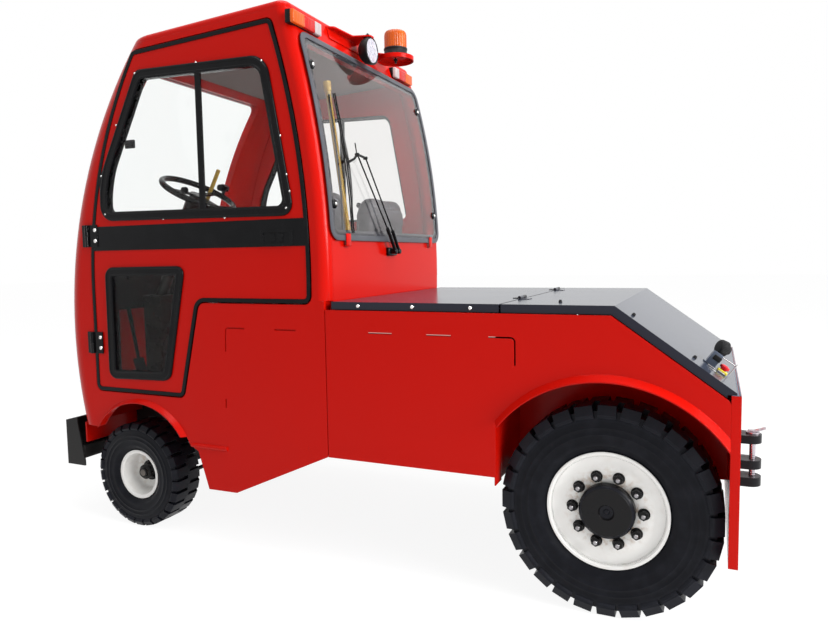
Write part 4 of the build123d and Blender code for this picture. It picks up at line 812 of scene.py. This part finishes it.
def lens(name, colour, glow, ribs, depth=0.0010):
    """Moulded lens: coloured plastic, lightly see-through, with prism ribs behind the surface."""
    finish = Finish(name)
    prisms = finish.node("ShaderNodeTexWave", {"Vector": finish.place, "Scale": ribs, "Distortion": 0.0},
                         out="Fac", bands_direction="Y", wave_profile="TRI")
    dark = tuple(0.45 * c for c in colour)
    return finish.done({
        "Base Color": finish.mix(prisms * 0.7, colour, dark),
        "Roughness": 0.14,
        "Specular IOR Level": 0.30,
        "Emission Color": colour,
        "Emission Strength": glow,
        "Normal": finish.relief(prisms, depth, 0.0015)})


def on_both_lamps(span):
    """A span across the left lamp, and the same one on the right lamp."""
    return span, (RIGHT_SHIFT - span[1], RIGHT_SHIFT - span[0])


for name, (colour, span) in LENSES.items():
    lenses = [bar(at(LAMP_FACE_X, low, LAMP_Z[0]), at(LAMP_FACE_X + 0.026, high, LAMP_Z[1]), 0.005, 3)
              for low, high in on_both_lamps(span)]
    moulding = lens(f"{name} lamp lens", colour, 0.02, 26.0)
    piece(f"tail_lens_{name}", joined(*lenses), moulding, "body", "lamp_lens")
backs = [bar(at(LAMP_FACE_X + 0.016, low, LAMP_Z[0] - 0.0015),
             at(LAMP_FACE_X + 0.042, high, LAMP_Z[1] + 0.0015), 0.003)
         for low, high in on_both_lamps(BACK_SPAN)]
piece("tail_lamp_backs", joined(*backs), plastic, "body", "black_plastic", "tail_lamps")


def ribbed(form, middle, axis, start, beyond, depth):
    """Presses fine ribs into the side of a turned form, past a radius from its axis."""
    for vert in form.verts:
        arm = vert.co - middle
        out = arm - axis * arm.dot(axis)
        if out.length > beyond:
            vert.co += out.normalized() * depth * (cos(out.angle(start) * RIBS) - 1)
    return form


RIBS = 32
UP = Vector((0, 0, 1))
amber = lens("amber beacon dome", (0.62, 0.095, 0.001), 0.10, 6.0, 0.0)
low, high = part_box("beacon")
BEACON = Vector(((low.x + high.x) / 2, (low.y + high.y) / 2, low.z))
DOME_R = 0.0590
dome = turned([(0, 0.042), (DOME_R, 0.042), (DOME_R, 0.110), (0.0565, 0.1225), (0.050, 0.1305),
               (0.030, 0.1343), (0, 0.1348)], BEACON, UP, 96)
ribbed(dome, BEACON, UP, Vector((1, 0, 0)), 0.05, 0.0011)
piece("beacon_dome", dome, amber, "body", "lamp_lens", "beacon")
base = turned([(0, 0.0), (0.0625, 0.0), (0.0625, 0.016), (0.0600, 0.020), (0.0600, 0.034), (0.0622, 0.036),
               (0.0622, 0.043), (0.0590, 0.0445), (0, 0.0445)], BEACON, (0, 0, 1), 64)
bolt = turned([(0, -0.030), (0.006, -0.030), (0.006, 0.002), (0, 0.002)], BEACON, (0, 0, 1), 16)
nut = hex_form(BEACON + Vector((0, 0, -0.0185)), (0, 0, 1), 0.019, 0.009, 0.001)
piece("beacon_base", joined(base, bolt, nut), dull_rubber, "body", "black_plastic")

low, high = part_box("work_lamp")
LAMP = Vector((low.x + 0.002, (low.y + high.y) / 2 - 0.010, 2.392))
bowl = turned([(0.0, 0.0670), (0.020, 0.0670), (0.040, 0.0600), (0.058, 0.0430), (0.0655, 0.0200),
               (0.0668, 0.0085), (0.0660, 0.0020), (0.0630, 0.0003), (0.0590, 0.0003), (0.0575, 0.0035),
               (0.0, 0.0035)], LAMP, (1, 0, 0), 64)
piece("work_lamp_bowl", bowl, dull_rubber, "body", "black_plastic", "work_lamp")
CELLS = 6
CELL_RING_R = 0.0370
reflectors = []
for i in range(CELLS + 1):
    angle = pi * i / 3
    spread = 0.0 if i == CELLS else CELL_RING_R
    place = LAMP + Vector((0.0030, spread * cos(angle), spread * sin(angle)))
    reflectors.append(turned([(0.0, 0.0000), (0.006, -0.0004), (0.012, -0.0014), (0.0178, -0.0028),
                              (0.0186, -0.0028), (0.0186, 0.0012), (0.0, 0.0014)], place, (1, 0, 0), 24))


def reflector_white():
    """Silvered cells of the work lamp, bright from any side."""
    finish = Finish("silvered lamp cells")
    facets = finish.node("ShaderNodeTexVoronoi", {"Vector": finish.place, "Scale": 150.0}, out="Distance")
    return finish.done({
        "Base Color": finish.mix(facets, (0.72, 0.71, 0.76), (0.42, 0.42, 0.50)),
        "Roughness": 0.22,
        "Metallic": 0.35,
        "Normal": finish.relief(facets, 0.0006)})


reflectors.append(turned([(0, 0.0), (0.0570, 0.0), (0.0570, 0.0016), (0, 0.0016)],
                         LAMP + Vector((0.0022, 0, 0)), (1, 0, 0), 48))
piece("work_lamp_cells", joined(*reflectors), reflector_white(), "body", "bright_steel")
zinc = metal("bright zinc plate", (0.62, 0.60, 0.60), (0.42, 0.38, 0.36), 0.28)
strap = [bar(LAMP + Vector((0.012, -0.014, 0.0655)), LAMP + Vector((0.150, 0.014, 0.0705)), 0.0015),
         bar(LAMP + Vector((0.012, -0.014, 0.0400)), LAMP + Vector((0.017, 0.014, 0.0700)), 0.0015)]
piece("work_lamp_strap", joined(*strap), zinc, "body", "bright_steel")
stem = [hex_form(LAMP + Vector((0.026, 0, 0.0705)), (0, 0, 1), 0.019, 0.010, 0.001),
        rod([LAMP + Vector((0.026, 0, 0.070)), LAMP + Vector((0.026, 0, 0.086))], 0.0045)]
piece("work_lamp_nut", joined(*stem), plastic, "body", "black_plastic")


# Hitch: black steel jaws, grey in patches on their upper faces, small zinc bolts, and a zinc-plated pin with
# fine grooves.
# The pin drops through the jaws from above.

def jaw_black():
    """Black paint that turns grey in patches on the faces that look up."""
    finish = Finish("jaw paint, grey in patches on top")
    grey_upper_patches = finish.upward() * finish.step(finish.noise(60.0), 0.25, 0.75)
    return finish.done({
        "Base Color": finish.mix(grey_upper_patches, (0.0045, 0.0045, 0.006), (0.070, 0.066, 0.072)),
        "Roughness": grey_upper_patches * 0.2 + 0.28,
        "Specular IOR Level": 0.18,
        "Normal": finish.relief(finish.noise(140.0), 0.0004, 0.003)})


paint(jaw_black(), "hitch_jaws")


def plated_pin():
    """Purplish zinc with close machined rings along the shaft."""
    finish = Finish("purplish zinc pin")
    rings = finish.node("ShaderNodeTexWave", {"Vector": finish.place, "Scale": 40.0}, out="Fac",
                        bands_direction="Z", wave_profile="SIN")
    stain = finish.step(finish.noise(45.0), 0.4, 0.8)
    return finish.done({
        "Base Color": finish.mix(stain, (0.50, 0.46, 0.50), (0.28, 0.22, 0.24)),
        "Roughness": stain * 0.2 + 0.25,
        "Metallic": 0.9,
        "Normal": finish.relief(rings, 0.0005)})


paint(plated_pin(), "hitch_pin")
PLATE_FACE_X = -0.447
BOLT_SPREAD_Y = 0.052
bolts = [hex_form(at(PLATE_FACE_X - 0.0115, y, z), (-1, 0, 0), 0.013, 0.008, 0.001)
         for z in (0.445, 0.374, 0.555) for y in (BOLT_SPREAD_Y, -BOLT_SPREAD_Y)]
piece("hitch_bolts", joined(*bolts), zinc, "body", "bright_steel")


# Emergency stop on the hood's slope: bent grey bracket with a black ribbed knob and a red mushroom on yellow.
# The bracket is screwed through two bright strips; a thin rod ties it to the hood's rear edge.

FOOT = at(-0.372, 0.420, 0.9395)
AHEAD = Vector((0.811, 0, 0.585))


def on_slope(along, y, out):
    """A place on the hood's slope: up the slope, across and out from the sheet."""
    return FOOT + AHEAD * along + Vector((0, y, 0)) + SLOPE_NORMAL * out


def slope_bar(low, high, soft):
    """A block that lies square to the slope."""
    form = bar(low, high, soft, 3)
    turn = Matrix((AHEAD, Vector((0, 1, 0)), SLOPE_NORMAL)).transposed().to_4x4()
    bmesh.ops.transform(form, matrix=Matrix.Translation(FOOT) @ turn, verts=form.verts)
    return form


side_plate = slope_bar((0.014, 0.028, 0.0), (0.052, 0.032, 0.054), 0.0016)
bracket = [side_plate, slope_bar((0.010, -0.026, 0.0), (0.060, 0.032, 0.0030), 0.0012),
           slope_bar((0.048, -0.026, 0.0), (0.052, 0.030, 0.050), 0.0016)]
bracket_grey = painted("grey-blue bracket paint", (0.075, 0.095, 0.14), (0.11, 0.12, 0.16), 0.22, 0.4, 0.002)
piece("stop_bracket", joined(*bracket), bracket_grey, "hood", "grey_steel", "stop_switch")

KNOB = on_slope(0.036, 0.000, 0.072)
KNOB_AXIS = Vector((0.80, 0.42, 0.42)).normalized()
knob = turned([(0, 0.0165), (0.014, 0.0168), (0.024, 0.0155), (0.0285, 0.0120), (0.0300, 0.0070),
               (0.0300, -0.0130), (0.0280, -0.0170), (0.018, -0.0185), (0.015, -0.030), (0, -0.030)],
              KNOB, KNOB_AXIS, 96)
ribbed(knob, KNOB, KNOB_AXIS, KNOB_AXIS.cross(UP), 0.026, 0.0013)
contact = slope_bar((0.012, 0.006, 0.024), (0.042, 0.036, 0.044), 0.003)
piece("stop_knob", joined(knob, contact), dull_rubber, "hood", "black_plastic")

stop_red = painted("stop button red", (0.56, 0.004, 0.012), (0.45, 0.006, 0.01), 0.22, 0.3, 0.0)
stop_yellow = painted("stop box yellow", (0.72, 0.60, 0.05), (0.55, 0.45, 0.04), 0.3, 0.3, 0.001)
box = slope_bar((-0.034, 0.004, 0.0005), (0.004, 0.038, 0.010), 0.002)
piece("stop_box", box, stop_yellow, "hood", "yellow_paint")
button = turned([(0, 0.0), (0.011, 0.0), (0.011, 0.004), (0.0175, 0.0065), (0.0190, 0.0105), (0.0175, 0.0160),
                 (0.010, 0.0195), (0, 0.0205)], on_slope(-0.014, 0.014, 0.0095), SLOPE_NORMAL, 36)
piece("stop_button", button, stop_red, "hood", "red_paint")
strips = [slope_bar((0.012, 0.052, 0.0), (0.042, 0.058, 0.0030), 0.0008),
          slope_bar((0.008, 0.098, 0.0), (0.036, 0.104, 0.0025), 0.0008),
          slope_bar((-0.026, 0.044, 0.0), (0.000, 0.047, 0.0050), 0.0008)]
tie = [rod([on_slope(0.018, -0.018, 0.042), on_slope(-0.046, -0.022, 0.044)], 0.0017),
       rod([on_slope(-0.045, -0.022, 0.003), on_slope(-0.045, -0.022, 0.052)], 0.0020)]
piece("stop_strips", joined(*strips, *tie), zinc, "hood", "bright_steel")


# Seal along the top of the tail plate: two thin grey-blue strips under the hood's rear edge.
# They run along the whole width of the plate.

low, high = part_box("rear_plate")
SEAL_HALF = 0.646
lip = [bar((low.x + 0.001, -SEAL_HALF, high.z), (low.x + 0.006, SEAL_HALF, high.z + 0.003), 0.001),
       bar((low.x + 0.0075, -SEAL_HALF, high.z), (high.x - 0.001, SEAL_HALF, high.z + 0.002), 0.0008)]
piece("tail_plate_seal", joined(*lip), bracket_grey, "body", "grey_steel")


# Cab fittings: dash, column, wheel and pedals in black, and the yellow parking lever and grab post.
# Two thin cables lie along the post. The roof has a needled lining, just under the sheet.

paint(plastic, "steering_wheel", "dash")
column_black = moulded("column shroud", (0.006, 0.0055, 0.005), (0.014, 0.012, 0.011), 0.25, 500.0, 0.0001,
                       shine=0.2)
paint(column_black, "steering_column")
paint(satin_black, "pedals")
brass_yellow = painted("aged yellow paint", (0.50, 0.33, 0.055), (0.40, 0.26, 0.05), 0.25, 0.3, 0.0)
paint(brass_yellow, "grab_post")
CABLE_R = 0.0045
CABLES = (((1.243, 0.372, 1.470), (1.232, 0.384, 1.60), (1.245, 0.386, 1.78), (1.272, 0.376, 1.96),
           (1.293, 0.372, 2.08), (1.300, 0.366, 2.13)),
          ((1.236, 0.306, 1.470), (1.226, 0.296, 1.62), (1.240, 0.290, 1.80), (1.270, 0.304, 1.98),
           (1.296, 0.316, 2.10)))
cables = [rod([at(*point) for point in route], CABLE_R, smooth=True) for route in CABLES]
piece("grab_post_cables", joined(*cables), dull_rubber, "body", "black_plastic")
LEVER_Y = 0.20
LEVER = ((2.345, 1.38), (2.225, 1.607), (2.149, 1.746), (2.090, 1.854))
lever = rod([at(x, LEVER_Y, z) for x, z in LEVER], 0.011)
piece("parking_lever", lever, brass_yellow, "body", "yellow_paint")

LINER_GREY = (0.34, 0.30, 0.29)


def felt():
    """Grey-brown needled lining."""
    finish = Finish("needled cab lining")
    fibre = finish.noise(700.0, 4.0)
    return finish.done({
        "Base Color": finish.mix(fibre, LINER_GREY, (0.24, 0.21, 0.20)),
        "Roughness": 0.95,
        "Specular IOR Level": 0.1,
        "Normal": finish.relief(fibre, 0.0006)})


LINER_BACK_X = 1.420
ROOF_FALL = 0.0517       # the roof's fall towards the front
liner = bar(at(LINER_BACK_X, -0.585, 2.388), at(2.200, 0.585, 2.394), 0.002)
for vert in liner.verts:
    vert.co.z -= ROOF_FALL * (vert.co.x - at(LINER_BACK_X, 0, 0).x)
piece("roof_lining", liner, felt(), "body", "seat_cloth")


# Seats: moulded foam under grained grey vinyl, each a crowned cushion and a back with sewn channels.
# The cover is simulated as cloth over a slightly smaller form, and the channels are pressed in after it.

SEAT_Y = 0.335
SEAT_HALF = 0.225
SEAT_LEAN = radians(-4)
VOXEL = 0.0075
FOAM_PRESSURE = 4.0
SWELL_FRAMES = range(1, 21)
MOST_SWELL = 0.024
CUSHION_CHANNELS = (0.12, 0.24, 0.36)
BACK_CHANNELS = (1.36, 1.50, 1.64)
CHANNEL_WIDTH = 0.007


def seat_vinyl():
    """Dark grey grained vinyl, a little shiny where it is sat on."""
    finish = Finish("grained grey seat vinyl")
    grain = finish.node("ShaderNodeTexVoronoi", {"Vector": finish.place, "Scale": 520.0}, out="Distance")
    worn = finish.step(finish.noise(7.0), 0.4, 0.7)
    return finish.done({
        "Base Color": finish.mix(worn, (0.060, 0.064, 0.076), (0.095, 0.100, 0.116)),
        "Roughness": worn * -0.10 + 0.50,
        "Specular IOR Level": 0.45,
        "Normal": finish.relief(grain, 0.0005)})


def stuffed(form, name):
    """The form as a foam pad: evenly meshed, swollen by the cloth solver, no point moved past a limit."""
    mesh = bpy.data.meshes.new(name)
    form.to_mesh(mesh)
    form.free()
    pad = bpy.data.objects.new(name, mesh)
    scene.collection.objects.link(pad)
    bpy.context.view_layer.objects.active = pad
    even = pad.modifiers.new("even", "REMESH")
    even.mode = "VOXEL"
    even.voxel_size = VOXEL
    bpy.ops.object.modifier_apply(modifier="even")
    rest = [vert.co.copy() for vert in pad.data.vertices]
    foam = pad.modifiers.new("foam", "CLOTH")
    foam.settings.use_pressure = True
    foam.settings.uniform_pressure_force = FOAM_PRESSURE
    foam.settings.effector_weights.gravity = 0.0
    for number in SWELL_FRAMES:
        scene.frame_set(number)
    bpy.ops.object.modifier_apply(modifier="foam")
    scene.frame_set(1)
    grown = bmesh.new()
    grown.from_mesh(pad.data)
    grown.verts.ensure_lookup_table()
    for vert, start in zip(grown.verts, rest):
        move = vert.co - start
        if move.length > MOST_SWELL:
            vert.co = start + move * (MOST_SWELL / move.length)
    bpy.data.objects.remove(pad)
    bpy.data.meshes.remove(mesh)
    return grown


def channel(distance, depth):
    """How deep a sewn channel is at a distance from its line."""
    return depth * exp(-((distance / CHANNEL_WIDTH) ** 2))


vinyl = seat_vinyl()
low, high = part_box("seat_left")
cushion = stuffed(bar((low.x + 0.092, SEAT_Y - SEAT_HALF, 1.118), (high.x - 0.020, SEAT_Y + SEAT_HALF, 1.196),
                      0.028, 3), "cushion")
lean = Matrix.Translation(at(1.455, SEAT_Y, 1.214)) @ Matrix.Rotation(SEAT_LEAN, 4, "Y")
back_form = bar((-0.075, -0.222, 0.018), (0.010, 0.222, 0.505))
top_corners = [e for e in back_form.edges
               if abs((e.verts[0].co - e.verts[1].co).x) > 0.05 and e.verts[0].co.z > 0.4]
softened(bevelled(back_form, top_corners, 0.11, 8), 0.022, 3)
bmesh.ops.transform(back_form, matrix=lean, verts=back_form.verts)
back = stuffed(back_form, "back")
for vert in cushion.verts:
    if vert.co.z > 1.19:
        for line in CUSHION_CHANNELS:
            vert.co.z -= channel(vert.co.x - low.x - 0.09 - line, 0.006)
for vert in back.verts:
    sign = 1 if vert.co.x > at(1.44, 0, 0).x else -1
    for line in BACK_CHANNELS:
        vert.co.x -= sign * channel(vert.co.z - line, 0.005)
for side, shift in (("left", 0.0), ("right", -2 * SEAT_Y)):
    for part, form in (("cushion", cushion), ("back", back)):
        moved = form.copy()
        bmesh.ops.translate(moved, vec=(0, shift, 0), verts=moved.verts)
        bmesh.ops.smooth_vert(moved, verts=moved.verts, factor=0.4, use_axis_x=True, use_axis_y=True,
                              use_axis_z=True)
        replaced = (f"seat_{side}",) if part == "cushion" else ()
        pad = piece(f"seat_{part}_{side}", moved, vinyl, "body", "seat_cloth", *replaced)
        finer = pad.modifiers.new("finer", "SUBSURF")
        finer.levels = 1
        finer.render_levels = 1
cushion.free()
back.free()


# Head lamps: round sealed lamps in chrome rings, let into the front panel.
# The lenses are clear glass, and the rings are pressed from sheet and plated.

paint(glazed("clear head lamp lens", (0.92, 0.92, 0.93), 0.05), "head_lamps")
low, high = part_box("head_lamps")
LAMP_Y = high.y - 0.085
ring = turned([(0.0885, -0.024), (0.0885, 0.001), (0.0865, 0.004), (0.0820, 0.0045), (0.0785, 0.001),
               (0.0785, -0.024)], (high.x - 0.004, LAMP_Y, (low.z + high.z) / 2), (1, 0, 0), 64, ring=True)
piece("head_lamp_rings", both_sides(ring), chrome, "body", "bright_steel")


# Studio: a pale floor that keeps the shadow, a white surround, two soft lamps behind and one above.
# The white background comes from the floor's and the surround's own colour, not from the lamps.

WHITE = (1, 1, 1)
SURROUND_LIGHT = 0.50
FLOOR_GREY = (0.86, 0.86, 0.86)
FLOOR_GLOW = 1.13
GLOW_SHARE = 0.80


def shown_rays(finish):
    """1 for rays that the picture shows, also mirrored or through glass, and 0 for those that only light."""
    straight, glossy, through = [finish.node("ShaderNodeLightPath", out=f"Is {kind} Ray")
                                 for kind in ("Camera", "Glossy", "Transmission")]
    return straight.maths("MAXIMUM", straight.maths("MAXIMUM", straight, glossy), through)


surround = Finish("white surround", "worlds")
lit = surround.node("ShaderNodeBackground", {"Color": WHITE, "Strength": SURROUND_LIGHT})
plain = surround.node("ShaderNodeBackground", {"Color": WHITE, "Strength": 1.0})
shown = surround.node("ShaderNodeMixShader", {0: shown_rays(surround), 1: lit, 2: plain})
surround.node("ShaderNodeOutputWorld", {"Surface": shown})
scene.world = surround.made

FLOOR_HALF = 40.0
floor_form = bmesh.new()
bmesh.ops.create_grid(floor_form, x_segments=1, y_segments=1, size=FLOOR_HALF)
floor_mesh = bpy.data.meshes.new("studio_floor")
floor_form.to_mesh(floor_mesh)
floor_form.free()
floor = bpy.data.objects.new("studio_floor", floor_mesh)
scene.collection.objects.link(floor)

finish = Finish("pale studio floor")
base = finish.node("ShaderNodeBsdfDiffuse", {"Color": FLOOR_GREY})
glow = finish.node("ShaderNodeEmission", {"Color": WHITE, "Strength": FLOOR_GLOW})
shown = finish.node("ShaderNodeMixShader", {0: shown_rays(finish) * GLOW_SHARE, 1: base, 2: glow})
finish.node("ShaderNodeOutputMaterial", {"Surface": shown})
floor_mesh.materials.append(finish.made)


def lamp(name, place, aim, size, power):
    """One square soft box that faces a point."""
    light = bpy.data.lights.new(name, "AREA")
    light.shape = "SQUARE"
    light.size = size
    light.energy = power
    holder = bpy.data.objects.new(name, light)
    scene.collection.objects.link(holder)
    holder.location = place
    holder.rotation_mode = "QUATERNION"
    holder.rotation_quaternion = (Vector(aim) - Vector(place)).to_track_quat("-Z", "Y")


lamp("rear soft box", (-7.0, 1.5, 4.0), (0, 0, 1.0), 4.0, 560)
lamp("overhead soft box", (-0.5, 0.5, 6.5), (0, 0, 0.8), 4.0, 240)
lamp("rear low strip", (-6.5, 1.2, 2.2), (0.5, 0.3, 1.6), 0.9, 110)


# Camera at the photograph's place: to the left of the rear wheels, at chest height, turned a little forward.
# Its lens and its turn were solved from the photograph, for a picture 828 pixels wide.

LENS_PIXELS = 677.574
PICTURE_WIDTH = 828
SENSOR = 36.0
CAMERA_PLACE = at(-0.3544, 3.1524, 1.3768)
YAW = radians(23.9353)
PITCH = radians(4.6075)
ROLL = radians(-0.9404)

ahead = Vector((sin(YAW) * cos(PITCH), -cos(YAW) * cos(PITCH), -sin(PITCH)))
right = ahead.cross(Vector((0, 0, 1))).normalized()
up = right.cross(ahead)
side = right * cos(ROLL) + up * sin(ROLL)
head = up * cos(ROLL) - right * sin(ROLL)
camera = bpy.data.cameras.new("photographer")
camera.sensor_width = SENSOR
camera.lens = LENS_PIXELS * SENSOR / PICTURE_WIDTH
holder = bpy.data.objects.new("photographer", camera)
scene.collection.objects.link(holder)
turned_to = Matrix((side, head, -ahead)).transposed().to_4x4()
holder.matrix_world = Matrix.Translation(CAMERA_PLACE) @ turned_to
scene.camera = holder

scene.view_settings.view_transform = "Standard"
